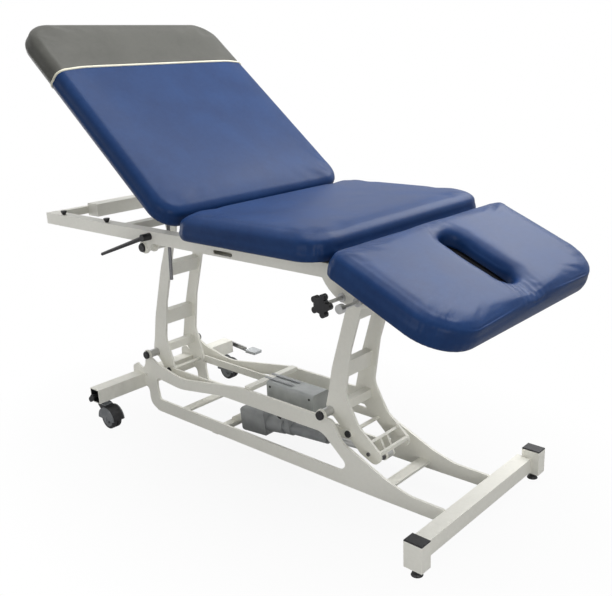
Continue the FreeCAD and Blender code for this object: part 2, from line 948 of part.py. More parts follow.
def tie_bar(side):
    y0 = leg_half + tie_side_gap
    z = hinge_height - tie_offset_z
    bar = pill(tie_offset_x, z, leg_pitch + tie_offset_x, z, tie_half_tall, y0, y0 + tie_thick)
    holes = []
    for x in (tie_offset_x, leg_pitch + tie_offset_x):
        holes.append(rod_y(x, z, tie_pin + shaft_gap, 0, base_half))
    bar = bar.cut(holes)
    return both_sides(bar)[side]


def tie_rods():
    """Rods through both tie bars and both leg plates."""
    reach = leg_half + tie_side_gap + tie_thick
    z = hinge_height - tie_offset_z
    rods = []
    for x in (tie_offset_x, leg_pitch + tie_offset_x):
        rods.append(rod_y(x, z, tie_pin, -reach - screw_tall, reach + screw_tall))
    return group(rods)


def tie_caps():
    y0 = leg_half + tie_side_gap + tie_thick
    z = hinge_height - tie_offset_z
    caps = []
    for x in (tie_offset_x, leg_pitch + tie_offset_x):
        cap = domed_cap(x, z, tie_half_tall - screw_tall, y0, tie_cap_tall, tie_pin, screw_tall)
        caps += both_sides(cap)
    return group(caps)


# Top frame
cross_wide = 38.0
cross_tall = 25.0
front_member_low = rail_bottom + rail_tube - cross_tall
lug_inner = 56.5
lug_base = 30.0
rear_bar_deep = 25.0
rear_box_deep = 60.0
rear_box_half = 160.0
rear_box_bottom = 736.0
rear_box_top = 780.0
rear_box_wall = 3.0
support_wide = 40.0
support_shares = (0.063, 0.434, 0.787)
support_half = 300.0
slot_from_seat = 85.0
slot_long = 78.0
slot_z = 742.0
slot_half_tall = 6.0
end_plug_lip = 3.0


def rail_slot():
    x = seat_start + slot_from_seat
    return pill(x + slot_half_tall, slot_z, x + slot_long - slot_half_tall, slot_z,
                slot_half_tall, rail_half - rail_tube - overrun, rail_half + overrun)


def rail(side):
    """Side rail with a slot under the seat; side 0 is the far one and 1 the near one."""
    shell = tube(rail_rear, rail_front, rail_half - rail_tube, rail_half,
                 rail_bottom, rail_bottom + rail_tube, rail_wall, "x")
    return both_sides(shell.cut(rail_slot()))[side]


def rail_plugs():
    """Plates that close the rear and front ends of both rails."""
    plugs = []
    for x in (rail_rear - end_plug_lip, rail_front):
        plug = box(x, x + end_plug_lip, rail_half - rail_tube, rail_half,
                   rail_bottom, rail_bottom + rail_tube)
        plugs += both_sides(plug)
    return group(plugs)


def cross_member(station, low):
    half = rail_half - rail_tube
    return tube(station - cross_wide / 2, station + cross_wide / 2, -half, half,
                low, low + cross_tall, rail_wall, "y")


def pivot_lugs(station, low, hole_gap):
    """Two lugs under a cross member, inside the leg plates, that take the top pin."""
    x = station + leg_lean
    z = hinge_height + leg_rise
    y0 = lug_inner
    y1 = leg_half - plate_thick - collar_gap
    web = plate([(x - lug_base, rail_bottom, 0), (x - cross_wide / 2, low, 0),
                 (x + cross_wide / 2, low, 0), (x + lug_base, rail_bottom, 0),
                 (x + leg_boss, z, 0), (x - leg_boss, z, 0)], y0, y1)
    lug = join([web, rod_y(x, z, leg_boss, y0, y1)])
    lug = lug.cut(rod_y(x, z, pin_radius + hole_gap, 0, base_half))
    return group(both_sides(lug))


def rear_cross_bar():
    half = rail_half - rail_tube
    top = rail_bottom + rail_tube
    return tube(rail_rear, rail_rear + rear_bar_deep, -half, half,
                top - rear_bar_deep, top, rail_wall, "y")


def rear_box_cover():
    """Folded steel cover on the rear cross bar, open underneath."""
    x0 = rail_rear + rear_bar_deep
    outer = box(x0, x0 + rear_box_deep, -rear_box_half, rear_box_half,
                rear_box_bottom, rear_box_top)
    wall = rear_box_wall
    inner = box(x0 + wall, x0 + rear_box_deep - wall, wall - rear_box_half,
                rear_box_half - wall, rear_box_bottom - overrun, rear_box_top - wall)
    return outer.cut(inner)


def seat_supports():
    top = rail_bottom + rail_tube
    bars = []
    for share in support_shares:
        x = seat_start + share * seat_length
        bars.append(box(x - support_wide / 2, x + support_wide / 2, -support_half, support_half,
                        top, seat_top - seat_thick))
    return group(bars)


# Rubber bumpers on the rails
bumper_rear = -142.0
bumper_front = 113.0
bumper_y = 298.0
bumper_top_radius = 10.0
bumper_base_radius = 5.0
bumper_lip = 4.0


def bumpers():
    low = rail_bottom + rail_tube
    top = back_hinge_z - back_axis_up - face_gap
    pieces = []
    for x in (bumper_rear, bumper_front):
        cone = Part.makeCone(bumper_base_radius, bumper_top_radius, top - bumper_lip - low,
                             V(x, bumper_y, low), V(0, 0, 1))
        disc = rod_z(x, bumper_y, bumper_top_radius, top - bumper_lip, top)
        pieces += both_sides(join([cone, disc]))
    return group(pieces)


# Backrest hinge, frame and pad
back_axis_up = 21.1
board_thick = 12.0
board_inset = 34.0
arm_inner = 262.0
arm_thick = 8.0
ear_plate_gap = 2.0
hinge_boss = 9.0
ear_boss = 10.0
ear_base = 14.0
arm_tall = 20.0
arm_reach = 460.0
arm_nose = 30.0
arm_neck = 16.0
back_tie_at = 420.0
back_tie_wide = 40.0
back_tie_thick = 6.0


def rest_back(shape):
    """Raise a piece of the backrest from flat to its angle at rest."""
    return turned(shape, back_hinge_station, back_hinge_z, back_raise)


def back_ears():
    """Plates on the rails that carry the backrest pins."""
    x, z = back_hinge_station, back_hinge_z
    low = rail_bottom + rail_tube
    y0 = arm_inner + arm_thick + ear_plate_gap
    web = plate([(x - ear_base, low, 0), (x + ear_base, low, 0),
                 (x + ear_boss, z, 0), (x - ear_boss, z, 0)], y0, y0 + arm_thick)
    ear = join([web, rod_y(x, z, ear_boss, y0, y0 + arm_thick)])
    ear = ear.cut(rod_y(x, z, hinge_pin_radius + shaft_gap, 0, rail_half))
    return group(both_sides(ear))


def back_pins():
    """Pivot bolts with a washer between arm and ear."""
    x, z = back_hinge_station, back_hinge_z
    y0 = arm_inner - collar_gap - head_tall
    y1 = arm_inner + 2 * arm_thick + ear_plate_gap
    pin = join([
        rod_y(x, z, hinge_pin_radius, y0, y1),
        rod_y(x, z, bolt_head, y0, y0 + head_tall),
        rod_y(x, z, bolt_head, arm_inner + arm_thick + collar_gap, y1 - arm_thick),
        rod_y(x, z, bolt_head, y1, y1 + head_tall),
    ])
    return group(both_sides(pin))


def back_arm():
    """Side arm of the backrest frame, hooked under the pad's end to the pivot."""
    x, z = back_hinge_station, back_hinge_z
    under = z - back_axis_up
    corners = [
        (x - arm_reach, under, 0),
        (x - arm_neck, under, 0),
        (x - hinge_boss + face_gap, z - hinge_boss + screw_tall, 0),
        (x, z, 0),
        (x + hinge_boss - screw_tall, z - hinge_boss + screw_tall, 0),
        (x + hinge_boss - head_tall, z - hinge_boss - head_tall, head_tall),
        (x - arm_nose + head_tall, under - arm_tall, arm_tall / 2),
        (x - arm_reach + arm_nose, under - arm_tall, arm_tall),
        (x - arm_reach, under - head_tall, 0),
    ]
    y1 = arm_inner + arm_thick
    arm = join([plate(corners, arm_inner, y1), rod_y(x, z, hinge_boss, arm_inner, y1)])
    return arm.cut(rod_y(x, z, hinge_pin_radius + shaft_gap, 0, rail_half))


def back_arms():
    return group([rest_back(arm) for arm in both_sides(back_arm())])


def back_tie():
    """Flat bar across the board that joins the two arms."""
    x = back_hinge_station - back_tie_at
    under = back_hinge_z - back_axis_up
    return rest_back(box(x - back_tie_wide, x, -arm_inner, arm_inner,
                         under - back_tie_thick, under))


def pad_wire(x0, x1, half, corners, bow, z):
    """Plan outline of a pad: corners as arcs and sides drawn in by a shallow arc."""
    c0, c1 = corners
    mx = (x0 + x1) / 2
    k0 = c0 * (1 - math.sqrt(0.5))
    k1 = c1 * (1 - math.sqrt(0.5))
    points = [
        (V(x0 + c0, -half, z), V(mx, bow - half, z), V(x1 - c1, -half, z)),
        (V(x1 - c1, -half, z), V(x1 - k1, k1 - half, z), V(x1, c1 - half, z)),
        (V(x1, c1 - half, z), V(x1 - bow, 0, z), V(x1, half - c1, z)),
        (V(x1, half - c1, z), V(x1 - k1, half - k1, z), V(x1 - c1, half, z)),
        (V(x1 - c1, half, z), V(mx, half - bow, z), V(x0 + c0, half, z)),
        (V(x0 + c0, half, z), V(x0 + k0, half - k0, z), V(x0, half - c0, z)),
        (V(x0, half - c0, z), V(x0 + bow, 0, z), V(x0, c0 - half, z)),
        (V(x0, c0 - half, z), V(x0 + k0, k0 - half, z), V(x0 + c0, -half, z)),
    ]
    return Part.Wire([Part.Arc(a, b, c).toShape() for a, b, c in points])


# Shares of a pad's thickness for height, and of its roll for the inset of each section
pad_section_shares = [
    (0.00, 0.30),
    (0.20, 0.05),
    (0.45, 0.00),
    (0.70, 0.14),
    (0.88, 0.50),
    (0.97, 1.10),
    (1.00, 2.60),
]
pad_roll = 26.0
pad_bow = 2.5


def pad_form(x0, x1, half, corners, z0, thick, rolls):
    """Crowned cushion form: outlines that draw in toward the crown, lofted."""
    wires = []
    for height, inset in pad_section_shares:
        start = x0 + inset * rolls[0]
        end = x1 - inset * rolls[1]
        side = half - inset * pad_roll
        wires.append(pad_wire(start, end, side, corners, pad_bow, z0 + height * thick))
    return Part.makeLoft(wires, True, False)


def pad_board(x0, x1, half, corner, z0):
    """Plywood board let into the underside of a pad."""
    corners = [
        (V(x0 + board_inset, board_inset - half, z0), corner),
        (V(x1 - board_inset, board_inset - half, z0), corner),
        (V(x1 - board_inset, half - board_inset, z0), corner),
        (V(x0 + board_inset, half - board_inset, z0), corner),
    ]
    return Part.Face(rounded_wire(corners)).extrude(V(0, 0, board_thick))


def board_pocket(board):
    """Room for a board in its pad, a little larger than the board."""
    return board.makeOffsetShape(face_gap, face_gap / 100, join=2)


back_corner = 85.0
band_length = 228.0
piping_proud = 2.5
piping_wide = 5.0
back_roll_end = 30.0


def back_limits():
    x1 = back_hinge_station - back_end_gap
    return x1 - back_length, x1, back_hinge_z - back_axis_up


def back_form():
    x0, x1, z0 = back_limits()
    return pad_form(x0, x1, pad_width / 2, (back_corner, back_corner), z0, back_thick,
                    (pad_roll, back_roll_end))


def back_board():
    x0, x1, z0 = back_limits()
    return pad_board(x0, x1, pad_width / 2, back_corner / 2, z0)


def back_part(from_share, to_share):
    """Part of the backrest cushion between two distances from its lower end."""
    x0, x1, z0 = back_limits()
    keep = box(x1 - to_share, x1 - from_share, -pad_width, pad_width,
               z0 - overrun, z0 + 2 * back_thick)
    return back_form().common(keep).cut(board_pocket(back_board()))


def back_pad():
    return rest_back(back_part(-overrun, back_length - band_length - piping_wide / 2))


def back_band():
    return rest_back(back_part(back_length - band_length + piping_wide / 2, back_length + overrun))


def back_piping():
    """Welt between the blue cover and the contrasting band."""
    x0, x1, z0 = back_limits()
    at = x0 + band_length
    proud = pad_form(x0, x1, pad_width / 2 + piping_proud, (back_corner, back_corner), z0,
                     back_thick + piping_proud, (pad_roll, back_roll_end))
    keep = box(at - piping_wide / 2, at + piping_wide / 2, -pad_width, pad_width,
               z0 + screw_tall, z0 + 2 * back_thick)
    return rest_back(proud.common(keep).cut(board_pocket(back_board())))


# Seat pad
seat_corner = 60.0
seat_roll_start = 24.0
seat_roll_end = 34.0


def seat_form():
    return pad_form(seat_start, seat_start + seat_length, pad_width / 2,
                    (seat_corner, seat_corner), seat_top - seat_thick, seat_thick,
                    (seat_roll_start, seat_roll_end))


def seat_board():
    return pad_board(seat_start, seat_start + seat_length, pad_width / 2, seat_corner / 2,
                     seat_top - seat_thick)


def seat_pad():
    return seat_form().cut(board_pocket(seat_board()))


# Face section pad with its breathing opening
face_corner_hinge = 60.0
face_corner_end = 95.0
face_hinge_up = 10.8
face_hole_start = 69.3
face_hole_long = 200.0
face_hole_half = 45.0
face_hole_lip = 14.0
face_up_limit = 34.0
face_down_limit = 45.0


def rest_face(shape):
    """Drop a piece of the face section from flat to its angle at rest."""
    return turned(shape, face_hinge_station, face_hinge_z, face_drop)


def face_limits():
    x0 = face_hinge_station + face_end_gap
    return x0, x0 + face_length, face_hinge_z + face_hinge_up


def hole_wire(half, z):
    """Long oval of two straight sides and two round ends, each end as two arcs."""
    x0 = face_hinge_station + face_end_gap + face_hole_start
    a = x0 + face_hole_half
    b = x0 + face_hole_long - face_hole_half
    r = half
    k = r * math.sqrt(0.5)
    edges = [
        Part.LineSegment(V(a, -r, z), V(b, -r, z)).toShape(),
        Part.Arc(V(b, -r, z), V(b + k, -k, z), V(b + r, 0, z)).toShape(),
        Part.Arc(V(b + r, 0, z), V(b + k, k, z), V(b, r, z)).toShape(),
        Part.LineSegment(V(b, r, z), V(a, r, z)).toShape(),
        Part.Arc(V(a, r, z), V(a - k, k, z), V(a - r, 0, z)).toShape(),
        Part.Arc(V(a - r, 0, z), V(a - k, -k, z), V(a, -r, z)).toShape(),
    ]
    return Part.Wire(edges)


def breathing_hole():
    """Through opening that flares into a rolled lip at the top."""
    x0, x1, z0 = face_limits()
    top = z0 + face_thick
    lower = Part.makeLoft([hole_wire(face_hole_half, z0 - overrun),
                           hole_wire(face_hole_half, top - face_hole_lip)], True, True)
    flare = Part.makeLoft([hole_wire(face_hole_half, top - face_hole_lip),
                           hole_wire(face_hole_half + face_hole_lip / 4, top - face_hole_lip / 3),
                           hole_wire(face_hole_half + face_hole_lip, top + screw_tall)],
                          True, True)
    return join([lower, flare])


def face_form():
    """Face cushion: larger corners at the free end than at the hinge."""
    x0, x1, z0 = face_limits()
    return pad_form(x0, x1, pad_width / 2, (face_corner_hinge, face_corner_end), z0, face_thick,
                    (pad_roll, pad_roll))


def face_board():
    x0, x1, z0 = face_limits()
    board = pad_board(x0, x1, pad_width / 2, face_corner_hinge / 2, z0)
    return board.cut(breathing_hole())


def face_pad():
    x0, x1, z0 = face_limits()
    pocket = board_pocket(pad_board(x0, x1, pad_width / 2, face_corner_hinge / 2, z0))
    return rest_face(face_form().cut([breathing_hole(), pocket]))


# Face section hinge, arms and star knob
face_arm_inner = 246.0
face_arm_thick = 6.0
face_ear_thick = 8.0
face_washer = 1.0
knob_x = 37.0
knob_z = 103.0
head_rod_x = 18.0
head_rod_z = 104.0
face_boss = 10.0
arm_corner = 12.0
arm_notch_x = 2.0
arm_notch_z = 42.0
sector_outer = 18.0
sector_gap = 4.0
sector_thick = 8.0
sector_margin = 7.0
knob_radius = 31.5
knob_thick = 16.0
knob_centre = 330.0
knob_waist = 20.0
knob_lobes = 5
knob_stem = 5.0
rod_head_radius = 12.0
rod_head_long = 14.0
rod_collar = 9.0
arm_flange_long = 70.0


def face_ears():
    """Plates from the front cross member forward to the face hinge."""
    x, z = face_hinge_station, face_hinge_z
    y0 = face_arm_inner + face_arm_thick + face_washer
    y1 = y0 + face_ear_thick
    web = plate([(rail_front, front_member_low, 0),
                 (rail_front + face_boss, front_member_low, 0),
                 (x + face_boss / 2, z - face_boss, 0), (x, z + face_boss, 0),
                 (rail_front, z + face_boss, 0)], y0, y1)
    ear = join([web, rod_y(x, z, face_boss, y0, y1)])
    ear = ear.cut(rod_y(x, z, hinge_pin_radius + shaft_gap, 0, rail_half))
    return group(both_sides(ear))


def face_pins():
    x, z = face_hinge_station, face_hinge_z
    y0 = face_arm_inner - collar_gap - head_tall
    y1 = face_arm_inner + face_arm_thick + face_washer + face_ear_thick
    pin = join([
        rod_y(x, z, hinge_pin_radius, y0, y1),
        rod_y(x, z, bolt_head, y0, y0 + head_tall),
        rod_y(x, z, bolt_head, y1, y1 + head_tall),
    ])
    return group(both_sides(pin))


def face_arm():
    """Arm plate under the face board, drawn at rest, notched to pass the front cross member."""
    x, z = face_hinge_station, face_hinge_z
    slope = math.tan(math.radians(face_drop))
    under = z + face_hinge_up / math.cos(math.radians(face_drop))
    flange_x = x + arm_flange_long
    start_x = x + face_end_gap + board_inset
    corners = [
        (x, z, 0),
        (x + arm_notch_x, z - arm_notch_z, arm_corner),
        (x - knob_x - arm_corner, z - knob_z + arm_corner, arm_corner),
        (x - knob_x - arm_corner, z - knob_z - arm_corner, arm_corner),
        (x + head_rod_x + arm_corner, z - head_rod_z - arm_corner, arm_corner),
        (flange_x + arm_flange_long / 2, under - slope * (arm_flange_long * 3 / 2) - screw_tall, 0),
        (flange_x + arm_flange_long / 2, under - slope * (arm_flange_long * 3 / 2), 0),
        (start_x, under - slope * (start_x - x), 0),
    ]
    y1 = face_arm_inner + face_arm_thick
    arm = join([plate(corners, face_arm_inner, y1), rod_y(x, z, face_boss, face_arm_inner, y1)])
    holes = [
        rod_y(x, z, hinge_pin_radius + shaft_gap, 0, rail_half),
        rod_y(x - knob_x, z - knob_z, knob_stem + shaft_gap, 0, rail_half),
        rod_y(x + head_rod_x, z - head_rod_z, knob_stem + shaft_gap, 0, rail_half),
    ]
    return arm.cut(holes)


def face_arms():
    return group(both_sides(face_arm()))


def sector_ring(x, z, inner, outer, start, end, y0, y1):
    """Part of a flat ring round a point, between two angles in degrees."""
    def spot(distance, angle):
        a = math.radians(angle)
        return V(x + distance * math.cos(a), y0, z + distance * math.sin(a))

    middle = (start + end) / 2
    wire = Part.Wire([
        Part.Arc(spot(outer, start), spot(outer, middle), spot(outer, end)).toShape(),
        Part.LineSegment(spot(outer, end), spot(inner, end)).toShape(),
        Part.Arc(spot(inner, end), spot(inner, middle), spot(inner, start)).toShape(),
        Part.LineSegment(spot(inner, start), spot(outer, start)).toShape(),
    ])
    return Part.Face(wire).extrude(V(0, y1 - y0, 0))


def face_sector():
    """Clamping plate under the front cross member; the knob's screw presses on its face."""
    x, z = face_hinge_station, face_hinge_z
    radius = math.hypot(knob_x, knob_z)
    at_rest = -math.degrees(math.atan2(knob_z, -knob_x))
    reach = math.degrees((knob_stem + sector_margin) / radius)
    y0 = sector_gap - face_arm_inner
    y1 = y0 + sector_thick
    body = sector_ring(x, z, radius - sector_outer, radius + sector_outer,
                       at_rest - face_down_limit - reach, at_rest + face_up_limit + reach, y0, y1)
    low = front_member_low
    web = plate([(rail_front - cross_wide, low, 0), (rail_front, low, 0),
                 (x - knob_x / 2, z - knob_z + sector_outer, 0),
                 (x - knob_x - knob_x, z - knob_z + sector_outer, 0)], y0, y1)
    above = box(x - leg_rise, x + leg_rise, y0 - overrun, y1 + overrun, low, z + leg_rise)
    return join([body, web]).cut(above)


def star_knob():
    """Five-lobed knob on a long screw through the arm, which presses on the clamping plate."""
    x = face_hinge_station - knob_x
    z = face_hinge_z - knob_z
    y0 = -knob_centre - knob_thick / 2
    y1 = y0 + knob_thick
    lobes = [rod_y(x, z, knob_waist, y0, y1)]
    lobe_radius = (knob_radius - knob_waist) * 3 / 4
    for index in range(knob_lobes):
        angle = 2 * math.pi * index / knob_lobes
        cx = x + (knob_radius - lobe_radius) * math.cos(angle)
        cz = z + (knob_radius - lobe_radius) * math.sin(angle)
        lobes.append(rod_y(cx, cz, lobe_radius, y0, y1))
    hub = rod_y(x, z, knob_waist / 2, y1, y1 + knob_thick / 2)
    screw = rod_y(x, z, knob_stem, y0 + knob_thick / 2, sector_gap - face_gap - face_arm_inner)
    return join(lobes + [hub, screw])


def knob_washer():
    x = face_hinge_station - knob_x
    z = face_hinge_z - knob_z
    y1 = -face_arm_inner - face_arm_thick
    ring = rod_y(x, z, knob_stem + bolt_head, y1 - screw_tall, y1)
    return ring.cut(rod_y(x, z, knob_stem + shaft_gap, -rail_half, 0))


def headed_rod():
    """Grip rod with a round head, set in the near arm through a thick collar."""
    x = face_hinge_station + head_rod_x
    z = face_hinge_z - head_rod_z
    y1 = -face_arm_inner - face_arm_thick
    return join([
        rod_y(x, z, knob_stem, rod_head_long - knob_centre, -face_arm_inner),
        rod_y(x, z, rod_head_radius, -knob_centre, rod_head_long - knob_centre),
        rod_y(x, z, knob_stem + bolt_head, y1 - rod_collar, y1),
    ])


# Backrest lock: a rod hinged behind the backrest runs through a swivelling tube under the rail
lock_x = 213.0
lock_z = 88.5
lock_y = 215.0
lock_tube_radius = 15.0
lock_tube_near = 318.0
lock_tube_far = 196.0
lock_rod_radius = 5.5
lock_rod_tail = 126.0
lock_eye_radius = 9.0
lock_eye_half = 4.0
lock_lug_thick = 6.0
lock_pin = 4.0
lock_slot = 10.5
lock_flat = 26.0
lock_drop = 24.6
lock_fit = 0.3
bracket_thick = 6.0
bracket_radius = 20.0
lever_x = 352.0
lever_z = 752.0
lever_hub = 11.0
lever_hub_long = 30.0
lever_shaft = 4.0
lever_tip_x = 14.5
lever_tip_z = 75.0
lever_arm_radius = 7.0
lever_arm_reach = 210.0


def lock_spot():
    return back_hinge_station - lock_x, back_hinge_z - lock_z


def lock_anchor():
    """Place of the rod's upper eye at rest, as far from the backrest hinge as the tube."""
    radius = math.hypot(lock_x, lock_z)
    across = back_axis_up + lock_drop
    angle = math.radians(180 - back_raise) + math.asin(across / radius)
    return back_hinge_station + radius * math.cos(angle), back_hinge_z + radius * math.sin(angle)


def lock_direction():
    x0, z0 = lock_spot()
    x1, z1 = lock_anchor()
    return V(x1 - x0, 0, z1 - z0)


def lock_tube():
    """Swivelling tube with a cross hole for the rod and a cap on its near end."""
    x, z = lock_spot()
    body = rod_y(x, z, lock_tube_radius, -lock_tube_near, -lock_tube_far)
    direction = lock_direction()
    direction.normalize()
    start = V(x, -lock_y, z) - direction * (2 * lock_tube_radius)
    hole = Part.makeCylinder(lock_rod_radius + lock_fit, 4 * lock_tube_radius, start, direction)
    return body.cut(hole)


def lock_tube_cap():
    x, z = lock_spot()
    cap = rod_y(x, z, lock_tube_radius - screw_tall, -lock_tube_near - cap_tall, -lock_tube_near)
    rim = []
    for edge in cap.Edges:
        if edge.BoundBox.YMax < -lock_tube_near - cap_tall / 2:
            rim.append(edge)
    return cap.makeFillet(cap_tall / 3, rim)


def lock_brackets():
    """Two plates under the near rail that carry the swivelling tube."""
    x, z = lock_spot()
    plates = []
    for y0 in (-rail_half, bracket_thick - rail_half + rail_tube - 2 * bracket_thick):
        web = plate([(x - bracket_radius, rail_bottom, 0), (x + 2 * bracket_radius, rail_bottom, 0),
                     (x + bracket_radius, z - bracket_radius / 2, 0), (x - bracket_radius, z, 0)],
                    y0, y0 + bracket_thick)
        eye = rod_y(x, z, bracket_radius, y0, y0 + bracket_thick)
        above = box(x - leg_rise, x + leg_rise, y0 - overrun, y0 + bracket_thick + overrun,
                    rail_bottom, rail_bottom + leg_rise)
        bore = rod_y(x, z, lock_tube_radius + shaft_gap, -rail_half - overrun, 0)
        plates.append(join([web, eye]).cut([above, bore]))
    return group(plates)


def lock_rod():
    """Straight rod with a flat slotted end, from behind the backrest down through the tube."""
    x, z = lock_spot()
    ax, az = lock_anchor()
    direction = lock_direction()
    length = direction.Length
    direction.normalize()
    start = V(x, -lock_y, z) - direction * lock_rod_tail
    shaft = Part.makeCylinder(lock_rod_radius, length + lock_rod_tail - lock_flat, start, direction)
    foot = V(ax, 0, az) - direction * lock_flat
    low = V(ax, 0, az) - direction * lock_slot
    y0 = -lock_y - lock_eye_half
    y1 = lock_eye_half - lock_y
    eye = pill(foot.x, foot.z, ax, az, lock_eye_radius, y0, y1)
    slot = pill(low.x, low.z, ax, az, lock_pin + open_gap, y0 - overrun, y1 + overrun)
    return join([shaft, eye]).cut(slot)


def lock_lugs():
    """Two lugs behind the backrest board and the pin that runs in the rod's eye."""
    ax, az = lock_anchor()
    angle = math.radians(back_raise)
    up_x = math.sin(angle) * lock_drop
    up_z = math.cos(angle) * lock_drop
    plates = []
    for y0 in (-lock_y - lock_eye_half - lug_gap - lock_lug_thick, lock_eye_half + lug_gap - lock_y):
        plates.append(pill(ax, az, ax + up_x, az + up_z, lock_eye_radius + screw_tall,
                           y0, y0 + lock_lug_thick))
    trim = rest_back(box(rail_rear - back_length, rail_front, -pad_width, pad_width,
                         back_hinge_z - back_axis_up, back_hinge_z + back_length))
    reach = lock_eye_half + lug_gap + lock_lug_thick
    hole = rod_y(ax, az, lock_pin + shaft_gap, -rail_half, 0)
    pin = join([
        rod_y(ax, az, lock_pin, -lock_y - reach - head_tall, reach + screw_tall - lock_y),
        rod_y(ax, az, lock_pin + screw_tall, -lock_y - reach - head_tall, -lock_y - reach),
        rod_y(ax, az, lock_pin + screw_tall, reach - lock_y, reach + screw_tall - lock_y),
    ])
    return group([solid.cut([trim, hole]) for solid in plates] + [pin])


def lever_hub_shape():
    y1 = -rail_half - face_gap
    return rod_y(lever_x, lever_z, lever_hub, y1 - lever_hub_long, y1)


def clamp_lever():
    """Tapered hand lever on the outside of the near rail."""
    y1 = -rail_half - face_gap
    base = V(lever_x, y1 - lever_hub_long + lever_arm_radius, lever_z)
    tip = V(lever_x - lever_arm_reach, base.y - lever_tip_x, lever_z - lever_tip_z)
    direction = tip - base
    arm = Part.makeCone(lever_arm_radius, lever_arm_radius - screw_tall, direction.Length,
                        base, direction)
    shaft = rod_y(lever_x, lever_z, lever_shaft, y1 - lever_hub_long / 2,
                  rail_tube + overrun - rail_half)
    return join([lever_hub_shape(), arm, shaft])


def lever_hole():
    return rod_y(lever_x, lever_z, lever_shaft + shaft_gap, -rail_half - overrun,
                 rail_tube + overrun - rail_half)


def build_base():
    """The welded base with its pins, feet, casters and wheel lock."""
    nodes["side_plate_near"] = side_plate().mirror(V(0, 0, 0), V(0, 1, 0))
    nodes["side_plate_far"] = side_plate()
    nodes["rear_cross_tube"] = group([rear_cross_tube(), lock_shaft_bushes()])
    nodes["front_foot_frame"] = group([front_cross_tube()] + both_sides(front_post()))
    nodes["post_caps"] = group(both_sides(post_cap()) + both_sides(foot_insert()))
    nodes["cross_bars"] = group([
        cross_bar(front_bar_station, bar_wide, front_bar_z, bar_thick),
        cross_bar(rear_bar_station, bar_wide, rear_bar_z, bar_thick),
        cross_bar(drive_bar_station, drive_bar_wide, drive_bar_z, drive_bar_tall),
        cross_bar(upper_bar_station, upper_bar_wide, upper_bar_z, upper_bar_tall),
    ])
    nodes["hinge_pins"] = group([base_pins(), pin_spacers()])
    nodes["hinge_caps"] = hinge_caps()
    for name, side in (("near", -1), ("far", 1)):
        nodes["levelling_foot_" + name] = levelling_foot(side)
        nodes["caster_fork_" + name] = group([caster_fork(side), caster_axle(side)])
        nodes["caster_wheel_" + name] = caster_wheel(side)
    nodes["lock_shaft"] = group([lock_shaft(), lock_shaft_lever()])
    nodes["pedal_lever"] = pedal_lever()
    nodes["pedal_pad"] = pedal_pad()


def build_lift():
    """Actuator, control box, legs and tie bars."""
    nodes["drive_clevis"] = group([drive_clevis(), drive_rear_pin()])
    nodes["drive_housing"] = group([drive_housing(), drive_saddle(), lead_plug_drive()])
    nodes["drive_outer_tube"] = drive_outer_tube()
    nodes["drive_rod"] = drive_rod()
    nodes["control_box"] = control_box()
    nodes["control_fixings"] = group([control_hangers(), control_screws(), lead_plug_box()])
    nodes["drive_lead"] = drive_lead()
    nodes["leg_plates_right"] = leg_plates(right_leg_shares, leg_pitch, shaft_gap)
    nodes["leg_rungs_right"] = leg_rungs(leg_pitch)
    nodes["leg_foot_right"] = group([foot_plate(), foot_tie(), drive_lugs()])
    nodes["leg_bolts"] = group([drive_bolt_heads(), leg_bolts()])
    nodes["leg_plates_left"] = leg_plates(left_leg_shares, 0, open_gap)
    nodes["leg_rungs_left"] = leg_rungs(0)
    nodes["top_pin_right"] = top_pin(leg_pitch)
    nodes["top_pin_left"] = top_pin(0)
    nodes["tie_bars"] = group([tie_bar(0), tie_bar(1)])
    nodes["tie_rods"] = group([tie_rods(), tie_caps()])


def build_frame():
    """Top frame with its seat."""
    nodes["rail_far"] = rail(0)
    nodes["rail_near"] = rail(1).cut(lever_hole())
    nodes["frame_cross_members"] = group([
        cross_member(leg_lean, rail_bottom),
        cross_member(leg_pitch + leg_lean, front_member_low),
        cross_member(rail_front - cross_wide / 2, front_member_low),
        rear_cross_bar(),
        rail_plugs(),
    ])
    nodes["rear_cover"] = rear_box_cover()
    nodes["pivot_lugs"] = group([
        pivot_lugs(0, rail_bottom, open_gap),
        pivot_lugs(leg_pitch, front_member_low, shaft_gap),
    ])
    nodes["seat_supports"] = seat_supports()
    nodes["rail_bumpers"] = bumpers()
    nodes["seat_board"] = seat_board()
    nodes["seat_pad"] = seat_pad()


def build_sections():
    """Backrest with its lock, and face section with its clamp."""
    nodes["back_ears"] = group([back_ears(), back_pins()])
    nodes["back_frame"] = group([back_arms(), back_tie(), lock_lugs()])
    nodes["back_board"] = rest_back(back_board())
    nodes["back_pad"] = back_pad()
    nodes["back_band"] = back_band()
    nodes["back_piping"] = back_piping()
    nodes["lock_brackets"] = lock_brackets()
    nodes["lock_tube"] = group([lock_tube(), lock_tube_cap()])
    nodes["lock_rod"] = lock_rod()
    nodes["clamp_lever"] = clamp_lever()
    nodes["face_ears"] = group([face_ears(), face_pins()])
    nodes["face_sector"] = face_sector()
    nodes["face_arms"] = face_arms()
    nodes["face_board"] = rest_face(face_board())
    nodes["face_pad"] = face_pad()
    nodes["star_knob"] = star_knob()
    nodes["headed_rod"] = group([headed_rod(), knob_washer()])


def build():
    """Make every node in table stations."""
    build_base()
    build_lift()
    build_frame()
    build_sections()


def centre_station():
    """Middle of the whole table along X, from boxes that fit the curved forms closely."""
    boxes = [nodes[name].optimalBoundingBox(True, False) for name in ("frame_cross_members", "face_pad")]
    low = min(found.XMin for found in boxes)
    high = max(found.XMax for found in boxes)
    return (low + high) / 2


